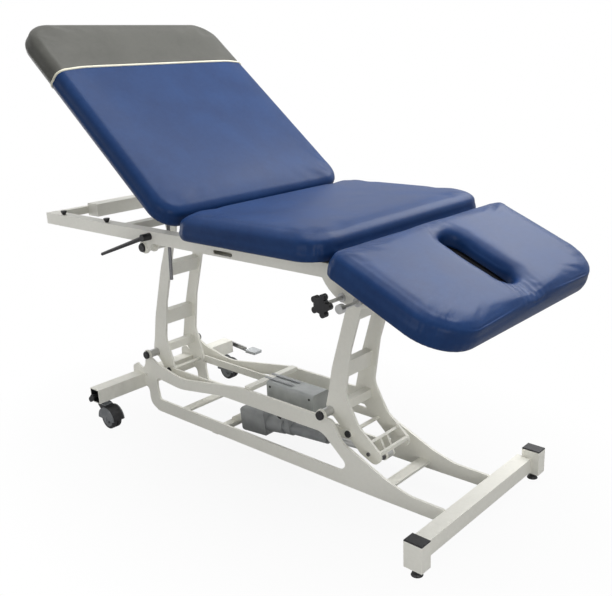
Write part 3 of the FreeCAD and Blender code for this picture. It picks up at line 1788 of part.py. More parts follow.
def main():
    build()
    os.makedirs("parts", exist_ok=True)
    shift = V(-centre_station(), 0, 0)
    for name, shape in nodes.items():
        shape.translate(shift)
        shape.exportStep("parts/" + name + ".step")
        solids = shape.Solids
        volume = sum(solid.Volume for solid in solids) / 1000
        box_now = shape.BoundBox
        print(name, len(solids), "solids", round(volume, 1), "cm3", "valid" if shape.isValid() else
              "NOT VALID", "x", round(box_now.XMin, 1), round(box_now.XMax, 1))
    print("centre station", round(-shift.x, 3), "nodes", len(nodes))


main()
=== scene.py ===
"""Looks of the three-section treatment table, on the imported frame."""
import bmesh
import bpy
import json
import math
import numpy as np
from mathutils import Matrix, Vector


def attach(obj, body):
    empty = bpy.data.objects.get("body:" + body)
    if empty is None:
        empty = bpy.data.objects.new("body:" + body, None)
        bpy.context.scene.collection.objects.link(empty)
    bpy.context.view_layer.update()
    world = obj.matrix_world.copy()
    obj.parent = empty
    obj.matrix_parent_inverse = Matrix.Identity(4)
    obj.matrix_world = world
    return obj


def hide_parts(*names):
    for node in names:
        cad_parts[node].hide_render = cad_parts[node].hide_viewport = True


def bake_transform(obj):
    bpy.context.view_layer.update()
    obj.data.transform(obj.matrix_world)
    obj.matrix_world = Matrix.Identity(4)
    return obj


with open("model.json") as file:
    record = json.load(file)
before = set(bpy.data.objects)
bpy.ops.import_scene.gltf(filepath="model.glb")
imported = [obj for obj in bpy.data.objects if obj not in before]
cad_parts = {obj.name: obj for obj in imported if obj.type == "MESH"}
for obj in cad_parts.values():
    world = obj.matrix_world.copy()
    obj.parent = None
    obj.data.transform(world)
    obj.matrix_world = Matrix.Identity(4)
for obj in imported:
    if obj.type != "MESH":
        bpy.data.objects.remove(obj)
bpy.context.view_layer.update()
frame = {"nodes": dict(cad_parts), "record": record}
rng = np.random.default_rng(7)

# The scene's middle and the two hinges, as stations and heights in millimetres, and the angles at rest
MM_PER_M = 1000.0
CENTRE = 610.198
BACK_HINGE = (532.8, 803.0)
FACE_HINGE = (1091.8, 768.2)
BACK_RAISE = 39.6
FACE_DROP = 24.3


def at(station, y, z):
    """A point in metres from a station, a place across and a height in millimetres."""
    return Vector(((station - CENTRE) / MM_PER_M, y / MM_PER_M, z / MM_PER_M))


def placed(name, data):
    """New object in the scene that shows the given data."""
    thing = bpy.data.objects.new(name, data)
    bpy.context.collection.objects.link(thing)
    return thing


def new_mesh(name, verts, faces):
    mesh = bpy.data.meshes.new(name)
    mesh.from_pydata([tuple(v) for v in verts], [], faces)
    mesh.update()
    return mesh


# Camera, fitted to the photograph
CAMERA_PLACE = (1.6830, -1.7121, 1.2476)
VIEW = (-0.6528, 0.6998, -0.2898)
LEVEL_RIGHT = (0.7312, 0.6821, 0.0)
LEVEL_UP = (-0.1977, 0.2119, 0.9570)
CAMERA_ROLL = -0.0438
LENS = 46.62
SENSOR = 36.0
CLIP_END = 60.0


def camera():
    forward = Vector(VIEW).normalized()
    cos_roll, sin_roll = math.cos(CAMERA_ROLL), math.sin(CAMERA_ROLL)
    right = cos_roll * Vector(LEVEL_RIGHT) + sin_roll * Vector(LEVEL_UP)
    up = -sin_roll * Vector(LEVEL_RIGHT) + cos_roll * Vector(LEVEL_UP)
    data = bpy.data.cameras.new("camera")
    data.sensor_fit = "HORIZONTAL"
    data.sensor_width = SENSOR
    data.lens = LENS
    data.clip_end = CLIP_END
    turn = Matrix((right, up, -forward)).transposed().to_4x4()
    turn.translation = Vector(CAMERA_PLACE)
    thing = placed("camera", data)
    thing.matrix_world = turn
    bpy.context.scene.camera = thing


# Shader trees
class Sock:
    """One node output that can be added, multiplied and passed on."""

    def __init__(self, shader, socket):
        self.shader = shader
        self.socket = socket

    def math(self, kind, other=None, flip=False):
        first, second = (other, self) if flip else (self, other)
        return self.shader.node("ShaderNodeMath", settings={"operation": kind},
                                slots={0: first, 1: second})

    def __add__(self, other):
        return self.math("ADD", other)

    def __sub__(self, other):
        return self.math("SUBTRACT", other)

    def __rsub__(self, other):
        return self.math("SUBTRACT", other, True)

    def __mul__(self, other):
        return self.math("MULTIPLY", other)

    def __truediv__(self, other):
        return self.math("DIVIDE", other)

    def __rtruediv__(self, other):
        return self.math("DIVIDE", other, True)

    def __pow__(self, other):
        return self.math("POWER", other)

    def __rpow__(self, other):
        return self.math("POWER", other, True)

    __radd__ = __add__
    __rmul__ = __mul__

    def clamp(self):
        return self.math("MAXIMUM", 0.0).math("MINIMUM", 1.0)

    def above(self, edge):
        """1 where the value is above the edge and 0 elsewhere."""
        return self.math("GREATER_THAN", edge)


class Shader:
    """A node tree under construction."""

    def __init__(self, tree):
        self.tree = tree
        tree.nodes.clear()

    def plug(self, slot, value):
        """Link a node output to a socket, or set the socket to a plain value."""
        if isinstance(value, Sock):
            self.tree.links.new(value.socket, slot)
        elif slot.type == "RGBA":
            slot.default_value = (*value, 1.0)
        elif value is not None:
            slot.default_value = value

    def node(self, kind, output=0, settings=None, stops=(), slots=None, **values):
        """Add a node, set it up, fill its sockets by number or by name, and give one output."""
        made = self.tree.nodes.new(kind)
        for key, value in (settings or {}).items():
            setattr(made, key, value)
        if stops:
            for element, (spot, colour) in zip(made.color_ramp.elements, stops):
                element.position = spot
                element.color = (*colour, 1.0)
        named = {key.replace("_", " "): value for key, value in values.items()}
        for key, value in {**(slots or {}), **named}.items():
            self.plug(made.inputs[key], value)
        return Sock(self, made.outputs[output]) if len(made.outputs) else None

    def ray(self, kind):
        return self.node("ShaderNodeLightPath", kind)


class Finish(Shader):
    """A material whose texture follows the places of its piece at rest."""

    def __init__(self, name):
        self.material = bpy.data.materials.new(name)
        self.material.use_nodes = True
        super().__init__(self.material.node_tree)
        self.place = self.node("ShaderNodeTexCoord", "Object")

    def spot(self, axis):
        """Place along one axis in millimetres, which rides with the piece."""
        return self.node("ShaderNodeSeparateXYZ", axis, Vector=self.place) * MM_PER_M

    def beside(self, middle, half, axis):
        """1 where a place along an axis is nearer to the middle than the half width."""
        return 1.0 - (self.spot(axis) - middle).math("ABSOLUTE").above(half)

    def mix(self, share, first, second):
        return self.node("ShaderNodeMix", 2, {"data_type": "RGBA"}, slots={0: share, 6: first, 7: second})

    def noise(self, scale, detail):
        return self.node("ShaderNodeTexNoise", "Fac", Vector=self.place, Scale=scale, Detail=detail)

    def between(self, value, tones, low=0.35, high=0.65):
        """Colour from the darker to the lighter of two tones, as the value rises from low to high."""
        return self.node("ShaderNodeValToRGB", stops=[(low, tones[0]), (high, tones[1])], Fac=value)

    def bump(self, height, strength, distance):
        return self.node("ShaderNodeBump", "Normal", Height=height, Strength=strength, Distance=distance)

    def surface(self, **values):
        shader = self.node("ShaderNodeBsdfPrincipled", **values)
        self.node("ShaderNodeOutputMaterial", Surface=shader)
        return self.material


# Finishes: a scale counts waves or cells in a metre, and bump distances are metres
def vinyl(name, tones, grain=0.5):
    """Upholstery vinyl with fine pores under a thin gloss."""
    f = Finish(name)
    pores = f.node("ShaderNodeTexVoronoi", "Distance", {"feature": "SMOOTH_F1"}, Vector=f.place, Scale=620.0)
    fine = f.noise(1500.0, 2.0)
    broad = f.noise(9.0, 4.0)
    cloud = f.noise(70.0, 3.0)
    colour = f.between(broad * 0.55 + cloud * 0.25 + fine * 0.25, tones, 0.30, 0.75)
    height = pores * 0.7 + fine * 0.5 + cloud * 0.25
    return f.surface(Base_Color=colour, Roughness=broad * 0.12 + fine * 0.10 + 0.29,
                     Normal=f.bump(height, grain, 0.0006), Specular_IOR_Level=0.09,
                     Coat_Weight=0.08, Coat_Roughness=0.20)


def powder_coat(name, tones):
    """Powder coat on steel, with a faint orange peel."""
    f = Finish(name)
    peel = f.noise(420.0, 2.0)
    broad = f.noise(3.5, 3.0)
    speck = f.noise(90.0, 4.0)
    return f.surface(Base_Color=f.between(broad * 0.7 + speck * 0.3, tones),
                     Roughness=broad * 0.12 + peel * 0.08 + 0.32, Normal=f.bump(peel, 0.10, 0.0006))


def plastic(name, tones, rough=0.42):
    """Moulded plastic or rubber with a fine grain."""
    f = Finish(name)
    fine = f.noise(900.0, 2.0)
    broad = f.noise(25.0, 3.0)
    return f.surface(Base_Color=f.between(broad, tones), Roughness=broad * 0.14 + rough,
                     Normal=f.bump(fine, 0.18, 0.0004))


def turned_metal(name, tones, rough=0.26):
    """Metal with fine lines along Y, as on drawn bar."""
    f = Finish(name)
    stretched = f.node("ShaderNodeMapping", "Vector", Vector=f.place, Scale=(900.0, 60.0, 900.0))
    lines = f.node("ShaderNodeTexNoise", "Fac", Vector=stretched, Scale=1.0, Detail=3.0)
    broad = f.noise(40.0, 3.0)
    return f.surface(Base_Color=f.between(broad * 0.6 + lines * 0.4, tones), Metallic=1.0,
                     Roughness=lines * 0.14 + broad * 0.12 + rough, Normal=f.bump(lines, 0.12, 0.0003))


def dust_cloth(name, tones):
    """Thin cloth stapled under a padded board."""
    f = Finish(name)
    fibre = f.node("ShaderNodeTexVoronoi", "Distance", Vector=f.place, Scale=1400.0)
    return f.surface(Base_Color=f.between(f.noise(30.0, 4.0), tones, 0.3, 0.7), Roughness=0.92,
                     Normal=f.bump(fibre, 0.5, 0.0005))


def two_part(name, where, first, second, first_metal=0.0, second_metal=0.0):
    """Finish that changes from a first colour to a second one where the share is 1."""
    f = Finish(name)
    share = where(f)
    fine = f.noise(700.0, 2.0)
    broad = f.noise(28.0, 3.0)
    return f.surface(Base_Color=f.mix(share, f.between(broad, first), f.between(broad, second)),
                     Metallic=share * (second_metal - first_metal) + first_metal,
                     Roughness=broad * 0.14 + fine * 0.08 + 0.34, Normal=f.bump(fine, 0.14, 0.0005))


WHITE = ((0.80, 0.79, 0.72), (0.87, 0.86, 0.79))
BLACK = ((0.010, 0.010, 0.012), (0.022, 0.022, 0.025))
STEEL = ((0.42, 0.42, 0.42), (0.58, 0.58, 0.57))

FINISHES = {
    "white_frame": powder_coat("white_frame", WHITE),
    "blue_vinyl": vinyl("blue_vinyl", ((0.006, 0.024, 0.088), (0.013, 0.044, 0.142))),
    "grey_vinyl": vinyl("grey_vinyl", ((0.074, 0.074, 0.067), (0.104, 0.104, 0.094))),
    "cream_piping": vinyl("cream_piping", ((0.70, 0.67, 0.54), (0.80, 0.77, 0.64)), 0.3),
    "plywood": dust_cloth("plywood", ((0.012, 0.012, 0.014), (0.030, 0.030, 0.034))),
    "black_plastic": plastic("black_plastic", BLACK),
    "grey_plastic": plastic("grey_plastic", ((0.26, 0.27, 0.275), (0.32, 0.33, 0.335))),
    "dark_steel": turned_metal("dark_steel", ((0.16, 0.16, 0.17), (0.24, 0.24, 0.25)), 0.32),
    "bright_steel": turned_metal("bright_steel", ((0.50, 0.50, 0.50), (0.64, 0.64, 0.63))),
    "wheel_rubber": plastic("wheel_rubber", ((0.010, 0.010, 0.011), (0.024, 0.024, 0.026)), 0.55),
    "cable": plastic("cable", ((0.014, 0.014, 0.016), (0.026, 0.026, 0.030)), 0.45),
}

# Places in millimetres where one node changes its finish
CASTER_Y = 287.0
HOOD_HALF = 20.3
HOOD_TOP = 86.0
AXLE = (-629.2, 37.5)
HUB_RADIUS = 28.0
TREAD_HALF = 14.0
# Middle and half width of the rear tube's bore, which is coloured black as painted shade
TUBE_MIDDLE = (-664.2, 125.0)
TUBE_BORE_HALF = 22.6
ROD_CAP_START = 79.2
KNOB_BACK = -321.5
SHAFT_LEVER_BACK = -300.0
LOCK_TUBE_PLUG = -318.0
FOOT_TOP = 22.0
STRAPS_LOW = 235.0


def hood(side):
    """1 on the black hood over a caster's wheel."""
    return lambda f: f.beside(side * CASTER_Y, HOOD_HALF, "Y") * (1.0 - f.spot("Z").above(HOOD_TOP))


def hub(side):
    """1 on the grey hub on both sides of a caster's wheel."""
    def share(f):
        out = ((f.spot("X") - AXLE[0]) ** 2.0 + (f.spot("Z") - AXLE[1]) ** 2.0) ** 0.5
        return (1.0 - out.above(HUB_RADIUS)) * (1.0 - f.beside(side * CASTER_Y, TREAD_HALF, "Y"))
    return share


# Painted shade: the rear tube's bore is coloured black from end to end where it is dark inside, which also
# makes the bushes in it black
def painted_shade_bore(f):
    return f.beside(TUBE_MIDDLE[0], TUBE_BORE_HALF, "X") * f.beside(TUBE_MIDDLE[1], TUBE_BORE_HALF, "Z")


def rod_caps(f):
    return f.spot("Y").math("ABSOLUTE").above(ROD_CAP_START)


def foot_stem(f):
    return f.spot("Z").above(FOOT_TOP)


FORK = ((0.15, 0.16, 0.17), (0.21, 0.22, 0.23))
HUB = ((0.14, 0.15, 0.155), (0.20, 0.21, 0.215))
SCREWS = ((0.03, 0.03, 0.032), (0.05, 0.05, 0.052))
STRAPS = ((0.30, 0.31, 0.32), (0.38, 0.39, 0.40))

OWN_FINISHES = {
    "caster_fork_near": two_part("fork_near", hood(-1), FORK, BLACK),
    "caster_fork_far": two_part("fork_far", hood(1), FORK, BLACK),
    "caster_wheel_near": two_part("wheel_near", hub(-1), BLACK, HUB),
    "caster_wheel_far": two_part("wheel_far", hub(1), BLACK, HUB),
    "tie_rods": two_part("rods_with_caps", rod_caps, WHITE, BLACK),
    "star_knob": two_part("knob_on_screw", lambda f: f.spot("Y").above(KNOB_BACK), BLACK, STEEL, 0.0, 1.0),
    "lock_shaft": two_part("shaft_with_end", lambda f: f.spot("Y").above(SHAFT_LEVER_BACK),
                           BLACK, STEEL, 0.3, 1.0),
    # The black in this tube's bore is painted shade, which also covers its bushes
    "rear_cross_tube": two_part("tube_with_painted_shade_bore", painted_shade_bore, WHITE, BLACK),
    "lock_tube": two_part("tube_with_plug", lambda f: 1.0 - f.spot("Y").above(LOCK_TUBE_PLUG), WHITE, BLACK),
    "levelling_foot_near": two_part("foot_near", foot_stem, BLACK, STEEL, 0.0, 1.0),
    "levelling_foot_far": two_part("foot_far", foot_stem, BLACK, STEEL, 0.0, 1.0),
    "control_fixings": two_part("straps", lambda f: f.spot("Z").above(STRAPS_LOW), SCREWS, STRAPS),
    "control_box": plastic("control_grey", ((0.40, 0.42, 0.42), (0.48, 0.50, 0.50))),
    "pedal_pad": plastic("pedal_grey", ((0.42, 0.44, 0.45), (0.52, 0.54, 0.55))),
    "headed_rod": FINISHES["bright_steel"],
    "drive_outer_tube": plastic("tube_grey", ((0.23, 0.24, 0.25), (0.29, 0.30, 0.31))),
}


def dress_nodes():
    slots = {part["node"]: part["material_slot"] for part in frame["record"]["subparts"]}
    for name, thing in frame["nodes"].items():
        thing.data.materials.clear()
        thing.data.materials.append(OWN_FINISHES.get(name, FINISHES[slots[name]]))


def mesh_object(name, verts, faces, slot):
    """Smooth piece in the finish of a material slot."""
    mesh = new_mesh(name, verts, faces)
    thing = placed(name, mesh)
    mesh.materials.append(FINISHES[slot])
    mesh.polygons.foreach_set("use_smooth", [True] * len(mesh.polygons))
    return thing


# Cushions: a grid over a rounded outline, given a roll at its rim and then blown up as cloth
RIM_WIDE = 48.0
RIM_ROWS = 9
RIM_POWER = 1.55
GRID_STEP = 14.0
LEAST_STEPS = 4
CORNER_PULL = 10
ROLL_DEPTH_SHARE = 0.42
ROLL_POWER = 2.8
FOLD_FROM_RIM = 23.0
FOLD_WIDE = 4.5
FOLD_PROUD = 1.3
CROWN = 1.2
CROWN_REACH = 60.0
# Heights as shares of the thickness, and how far the cover stands out from the outline there
SIDE_PROFILE = [(0.50, 0.4), (0.40, 0.6), (0.30, 0.2), (0.20, -0.8), (0.11, -2.6), (0.04, -5.6), (0.0, -9.5)]
FLANGE = 36.0
FLANGE_MIDDLE_SHARE = 0.55
FLANGE_TURN_UP = (0.19, 0.5)


class Cushion:
    """Sizes of a cushion about its own middle, in millimetres, each pair for its low and high ends."""

    def __init__(self, length, width, thick, corners, rolls):
        self.length = length
        self.hx = length / 2
        self.hy = width / 2
        self.thick = thick
        self.corners = corners
        self.rolls = rolls

    def outline(self, s, t):
        """Point on the rounded outline for a point (s, t) on the edge of the unit square."""
        x, y = s * self.hx, t * self.hy
        r = self.corners[0] if s < 0 else self.corners[1]
        cx, cy = self.hx - r, self.hy - r
        if abs(x) > cx and abs(y) > cy:
            ux, uy = (abs(x) - cx) / r, (abs(y) - cy) / r
            angle = math.pi / 4 * uy if ux >= uy else math.pi / 2 - math.pi / 4 * ux
            x = math.copysign(cx + r * math.cos(angle), x)
            y = math.copysign(cy + r * math.sin(angle), y)
        return x, y

    def roll_at(self, x):
        share = min(1.0, max(0.0, (x + self.hx) / self.length))
        return self.rolls[0] * (1 - share) + self.rolls[1] * share

    def top_at(self, near, roll):
        """Height of the top at a distance from the rim: level, then over a fold and down."""
        if near >= roll:
            return self.thick
        share = 1 - near / roll
        drop = ROLL_DEPTH_SHARE * self.thick * (1 - math.sqrt(max(0.0, 1 - share ** ROLL_POWER)))
        return self.thick - drop + FOLD_PROUD * math.exp(-((near - FOLD_FROM_RIM) / FOLD_WIDE) ** 2)


SEAT = Cushion(541.0, 772.0, 71.0, (62.0, 82.0), (62.0, 62.0))
SEAT_START = 552.0
SEAT_UNDERSIDE = 779.2
BACK = Cushion(864.0, 776.0, 68.5, (98.0, 78.0), (46.0, 54.0))
BACK_END = BACK_HINGE[0] - 13.2
BACK_UNDERSIDE = BACK_HINGE[1] - 20.9
BAND_LENGTH = 241.0
FACE = Cushion(373.0, 774.0, 65.0, (34.0, 120.0), (54.0, 54.0))
FACE_START = FACE_HINGE[0] + 11.0
FACE_UNDERSIDE = FACE_HINGE[1] + 11.0


def spaced(half):
    """Unit stations from -1 to 1, closer together near the edges."""
    steps = max(LEAST_STEPS, int(2 * (half - RIM_WIDE) / GRID_STEP))
    inner = list(np.linspace(-(half - RIM_WIDE), half - RIM_WIDE, steps + 1) / half)
    rim = [1 - RIM_WIDE / half * (1 - k / RIM_ROWS) ** RIM_POWER for k in range(1, RIM_ROWS + 1)]
    return [-v for v in reversed(rim)] + inner + rim


def nearness(edge, x, y):
    """Distance from a point to the nearest point of an outline."""
    return np.min(np.hypot(edge[:, 0] - x, edge[:, 1] - y))


def outward(points):
    """Normals of a closed outline, pointing out of it."""
    ahead = np.roll(points, -1, axis=0) - np.roll(points, 1, axis=0)
    ahead /= np.linalg.norm(ahead, axis=1, keepdims=True)
    return np.stack([ahead[:, 1], -ahead[:, 0]], axis=1)


def cushion_grid(cushion):
    """Closed cushion about its own middle, with its underside at height 0, in millimetres."""
    hx, hy, thick = cushion.hx, cushion.hy, cushion.thick
    ss, tt = spaced(hx), spaced(hy)
    nx, ny = len(ss), len(tt)
    verts, index = [], {}
    for i, s in enumerate(ss):
        for j, t in enumerate(tt):
            m = max(abs(s), abs(t))
            x, y = s * hx, t * hy
            if m > 0:
                bx, by = cushion.outline(s / m, t / m)
                pull = m ** CORNER_PULL
                x, y = x * (1 - pull) + bx * m * pull, y * (1 - pull) + by * m * pull
            index[i, j] = len(verts)
            verts.append((x, y))
    rim = [(i, 0) for i in range(nx)] + [(nx - 1, j) for j in range(1, ny)]
    rim += [(i, ny - 1) for i in range(nx - 2, -1, -1)] + [(0, j) for j in range(ny - 2, 0, -1)]
    edge = np.array([verts[index[k]] for k in rim])
    top = []
    for x, y in verts:
        near = nearness(edge, x, y)
        roll = cushion.roll_at(x)
        crown = CROWN * (1 - math.exp(-max(0.0, near - roll) / CROWN_REACH))
        top.append((x, y, cushion.top_at(near, roll) + crown))
    verts = top
    faces = []
    for i in range(nx - 1):
        for j in range(ny - 1):
            faces.append((index[i, j], index[i + 1, j], index[i + 1, j + 1], index[i, j + 1]))
    ring = [index[k] for k in rim]
    count = len(ring)
    out_of = outward(edge)
    profile = SIDE_PROFILE + [(0.0, -FLANGE * FLANGE_MIDDLE_SHARE), (0.0, -FLANGE),
                              (FLANGE_TURN_UP[0], -FLANGE - FLANGE_TURN_UP[1])]
    for height, out in profile:
        first = len(verts)
        verts += [(x, y, height * thick) for x, y in edge + out_of * out]
        row = list(range(first, first + count))
        for k in range(count):
            k1 = (k + 1) % count
            faces.append((ring[k], row[k], row[k1], ring[k1]))
        ring = row
    faces.append(tuple(reversed(ring)))
    return np.array(verts), faces


CLOTH = {"quality": 5, "mass": 0.3, "tension_stiffness": 25, "compression_stiffness": 12,
         "shear_stiffness": 8, "bending_stiffness": 1.6, "use_pressure": True,
         "vertex_group_mass": "held"}
CLOTH_FRAMES = 16


def inflate(name, verts, faces, pressure=5.0, cap=4.0, hold=0.30):
    """Blow the closed form up as cloth; its low share is held, and no point moves past the cap."""
    thing = placed(name + "_cloth", new_mesh(name + "_cloth", verts / MM_PER_M, faces))
    low = verts[:, 2] < hold * verts[:, 2].max()
    group = thing.vertex_groups.new(name="held")
    group.add([int(k) for k in np.nonzero(low)[0]], 1.0, "REPLACE")
    cloth = thing.modifiers.new("cloth", "CLOTH")
    for key, value in CLOTH.items():
        setattr(cloth.settings, key, value)
    cloth.settings.uniform_pressure_force = pressure
    cloth.settings.effector_weights.gravity = 0
    cloth.point_cache.frame_start = 1
    cloth.point_cache.frame_end = CLOTH_FRAMES
    for step in range(1, CLOTH_FRAMES + 1):
        bpy.context.scene.frame_set(step)
    done = thing.evaluated_get(bpy.context.evaluated_depsgraph_get()).to_mesh()
    moved = np.empty(len(done.vertices) * 3)
    done.vertices.foreach_get("co", moved)
    moved = moved.reshape(-1, 3) * MM_PER_M
    bpy.context.scene.frame_set(1)
    bpy.data.objects.remove(thing)
    shift = moved - verts
    size = np.linalg.norm(shift, axis=1, keepdims=True)
    shift *= np.minimum(1.0, cap / np.maximum(size, 1e-6)) * np.tanh(size / cap)
    return verts + shift


def tilt(verts, hinge, angle):
    """Turn flat points (station, y, z) about a hinge; a positive angle drops the +X end."""
    a = math.radians(angle)
    x, z = verts[:, 0] - hinge[0], verts[:, 2] - hinge[1]
    out = verts.copy()
    out[:, 0] = hinge[0] + x * math.cos(a) + z * math.sin(a)
    out[:, 2] = hinge[1] - x * math.sin(a) + z * math.cos(a)
    return out


def to_scene(verts):
    out = verts / MM_PER_M
    out[:, 0] -= CENTRE / MM_PER_M
    return out


WIDE_FACE_CORNERS = 20


def reshape(mesh, change):
    """Apply one change to the points and faces of a mesh."""
    bm = bmesh.new()
    bm.from_mesh(mesh)
    change(bm)
    bm.to_mesh(mesh)
    bm.free()


def drop_wide_faces(bm):
    wide = [face for face in bm.faces if len(face.verts) > WIDE_FACE_CORNERS]
    bmesh.ops.delete(bm, geom=wide, context="FACES_ONLY")


def close_holes(bm):
    bmesh.ops.holes_fill(bm, edges=bm.edges[:], sides=0)


def subdivide(thing):
    """Smooth a cushion; the one wide face over its board is left out and put back after."""
    reshape(thing.data, drop_wide_faces)
    modifier = thing.modifiers.new("smooth", "SUBSURF")
    modifier.levels = 1
    modifier.render_levels = 1
    bpy.context.view_layer.objects.active = thing
    depsgraph = bpy.context.evaluated_depsgraph_get()
    done = bpy.data.meshes.new_from_object(thing.evaluated_get(depsgraph))
    thing.modifiers.clear()
    reshape(done, close_holes)
    thing.data = done
    done.polygons.foreach_set("use_smooth", [True] * len(done.polygons))


GATHER_LEAN = 0.02


def ripple(verts, centre, radius, direction, wave, depth, drawn=1.0):
    """Short gathers round a point: a wave along one direction that fades away from it."""
    d = np.array(direction, float)
    d /= np.linalg.norm(d)
    offset = verts - np.array(centre, float)
    away = np.linalg.norm(offset * np.array([1.0, 1.0, drawn]), axis=1)
    phase = rng.uniform(0, 6.28)
    fade = np.exp(-(away / radius) ** 2)
    return depth * fade * np.sin(2 * math.pi * (offset @ d) / wave + phase + GATHER_LEAN * offset[:, 2])


# Where a cushion's end, side and top begin, and how fast, as shares of its half sizes and thickness
END_FROM, END_OVER = 0.86, 0.14
SIDE_FROM, SIDE_OVER = 0.93, 0.07
TOP_FROM, TOP_OVER = 0.35, 0.5


def push(cushion, verts, amount):
    """Move points outward or up by an amount, following the rounded form."""
    nx = np.sign(verts[:, 0]) * np.clip((np.abs(verts[:, 0]) / cushion.hx - END_FROM) / END_OVER, 0, 1)
    ny = np.sign(verts[:, 1]) * np.clip((np.abs(verts[:, 1]) / cushion.hy - SIDE_FROM) / SIDE_OVER, 0, 1)
    nz = np.clip((verts[:, 2] / cushion.thick - TOP_FROM) / TOP_OVER, 0, 1)
    normal = np.stack([nx, ny, nz], axis=1)
    size = np.maximum(np.linalg.norm(normal, axis=1, keepdims=True), 1e-6)
    return verts + normal / size * amount[:, None]


PLEAT_WAVE = 13.0
PLEAT_DEPTH = 1.0
PLEAT_DRAWN = 1.6
PLEAT_IN_SHARE = 0.35
PLEAT_HEIGHT_SHARE = 0.22
PLEAT_REACH_SHARE = 0.55
PLEAT_REACH_MORE = 12


def corner_gathers(cushion, verts):
    """Fine pleats where the cover is drawn round each corner."""
    amount = np.zeros(len(verts))
    for sx, r in zip((-1, 1), cushion.corners):
        for sy in (-1, 1):
            centre = (sx * (cushion.hx - PLEAT_IN_SHARE * r), sy * (cushion.hy - PLEAT_IN_SHARE * r),
                      PLEAT_HEIGHT_SHARE * cushion.thick)
            amount += ripple(verts, centre, PLEAT_REACH_SHARE * r + PLEAT_REACH_MORE, (sy * sx, -1.0, 0.0),
                             PLEAT_WAVE, PLEAT_DEPTH, PLEAT_DRAWN)
    return push(cushion, verts, amount)


REAR_FALL = 14.0
REAR_FALL_LENGTH = 48.0
REAR_FALL_END = 368.0
REAR_FALL_FADE = 40.0
REAR_FALL_FROM, REAR_FALL_OVER = 0.35, 0.3


def seat_cushion():
    verts, faces = cushion_grid(SEAT)
    verts = inflate("seat", verts, faces)
    # Its rear edge falls away, so that the raised backrest stays clear of it
    rear = np.clip(1 - (verts[:, 0] + SEAT.hx) / REAR_FALL_LENGTH, 0, 1) ** 2
    rear *= np.clip((REAR_FALL_END - np.abs(verts[:, 1])) / REAR_FALL_FADE, 0, 1)
    rear *= np.clip((verts[:, 2] / SEAT.thick - REAR_FALL_FROM) / REAR_FALL_OVER, 0, 1)
    verts[:, 2] -= REAR_FALL * rear
    verts = corner_gathers(SEAT, verts)
    verts[:, 0] += SEAT_START + SEAT.hx
    verts[:, 2] += SEAT_UNDERSIDE
    thing = mesh_object("seat_cushion", to_scene(verts), faces, "blue_vinyl")
    subdivide(thing)
    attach(thing, "top_frame")
    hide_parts("seat_pad")


def cut_at(bm, station, **cleared):
    """Cut across the cushion at a station in metres, and clear the side that is asked for."""
    return bmesh.ops.bisect_plane(bm, geom=bm.verts[:] + bm.edges[:] + bm.faces[:], dist=1e-6,
                                  plane_co=(station, 0, 0), plane_no=(1, 0, 0), **cleared)


def split_mesh(thing, station, keep_low):
    """Keep one side of a flat cushion, cut at a station, as its own mesh data."""
    mesh = thing.data.copy()
    reshape(mesh, lambda bm: cut_at(bm, station, clear_outer=keep_low, clear_inner=not keep_low))
    return mesh


# The piping lies in a groove, in millimetres; the sizes of the seam and the tube are metres
GROOVE_WIDE = 6.0
GROOVE_DEEP = 1.6
SEAM_HALF = 0.0004
WELT_RADIUS = 0.0040
WELT_SIDES = 12
WELT_STEP = 0.004
WELT_SIDE_Y = 0.36
WELT_FAN = 0.06


def welt_path(thing, station):
    """Line round the top and sides of the cushion at a station."""
    bm = bmesh.new()
    bm.from_mesh(thing.data)
    found = cut_at(bm, station)
    points = [g.co.copy() for g in found["geom_cut"] if isinstance(g, bmesh.types.BMVert)]
    bm.free()
    middle = sum(p.z for p in points) / len(points)
    low = min(p.z for p in points)
    points = [p for p in points if abs(p.y) > WELT_SIDE_Y or p.z > middle]
    points.sort(key=lambda p: math.atan2(p.y, p.z - low + WELT_FAN))
    kept = [points[0]]
    for p in points[1:]:
        if (p - kept[-1]).length > WELT_STEP:
            kept.append(p)
    return kept


def back_cushion():
    verts, faces = cushion_grid(BACK)
    verts = inflate("back", verts, faces)
    groove = np.exp(-((verts[:, 0] + BACK.hx - BAND_LENGTH) / GROOVE_WIDE) ** 2) * -GROOVE_DEEP
    verts = push(BACK, verts, groove)
    verts = corner_gathers(BACK, verts)
    verts[:, 0] += BACK_END - BACK.hx
    verts[:, 2] += BACK_UNDERSIDE
    whole = mesh_object("back_whole", to_scene(verts), faces, "blue_vinyl")
    subdivide(whole)
    seam = (BACK_END - BACK.length + BAND_LENGTH - CENTRE) / MM_PER_M
    welt = welt_path(whole, seam)
    hinge = at(BACK_HINGE[0], 0, BACK_HINGE[1])
    turn = Matrix.Translation(hinge) @ Matrix.Rotation(math.radians(BACK_RAISE), 4, "Y") \
        @ Matrix.Translation(-hinge)
    for name, low_side, slot, node in (("back_band_cushion", True, "grey_vinyl", "back_band"),
                                       ("back_cushion", False, "blue_vinyl", "back_pad")):
        mesh = split_mesh(whole, seam + (-SEAM_HALF if low_side else SEAM_HALF), low_side)
        mesh.transform(turn)
        mesh.materials.clear()
        mesh.materials.append(FINISHES[slot])
        thing = placed(name, mesh)
        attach(thing, "backrest")
        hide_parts(node)
    bpy.data.objects.remove(whole)
    verts, faces = tube_mesh([turn @ p for p in welt], WELT_RADIUS, WELT_SIDES)
    piping = mesh_object("back_welt", verts, faces, "cream_piping")
    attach(piping, "backrest")
    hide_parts("back_piping")


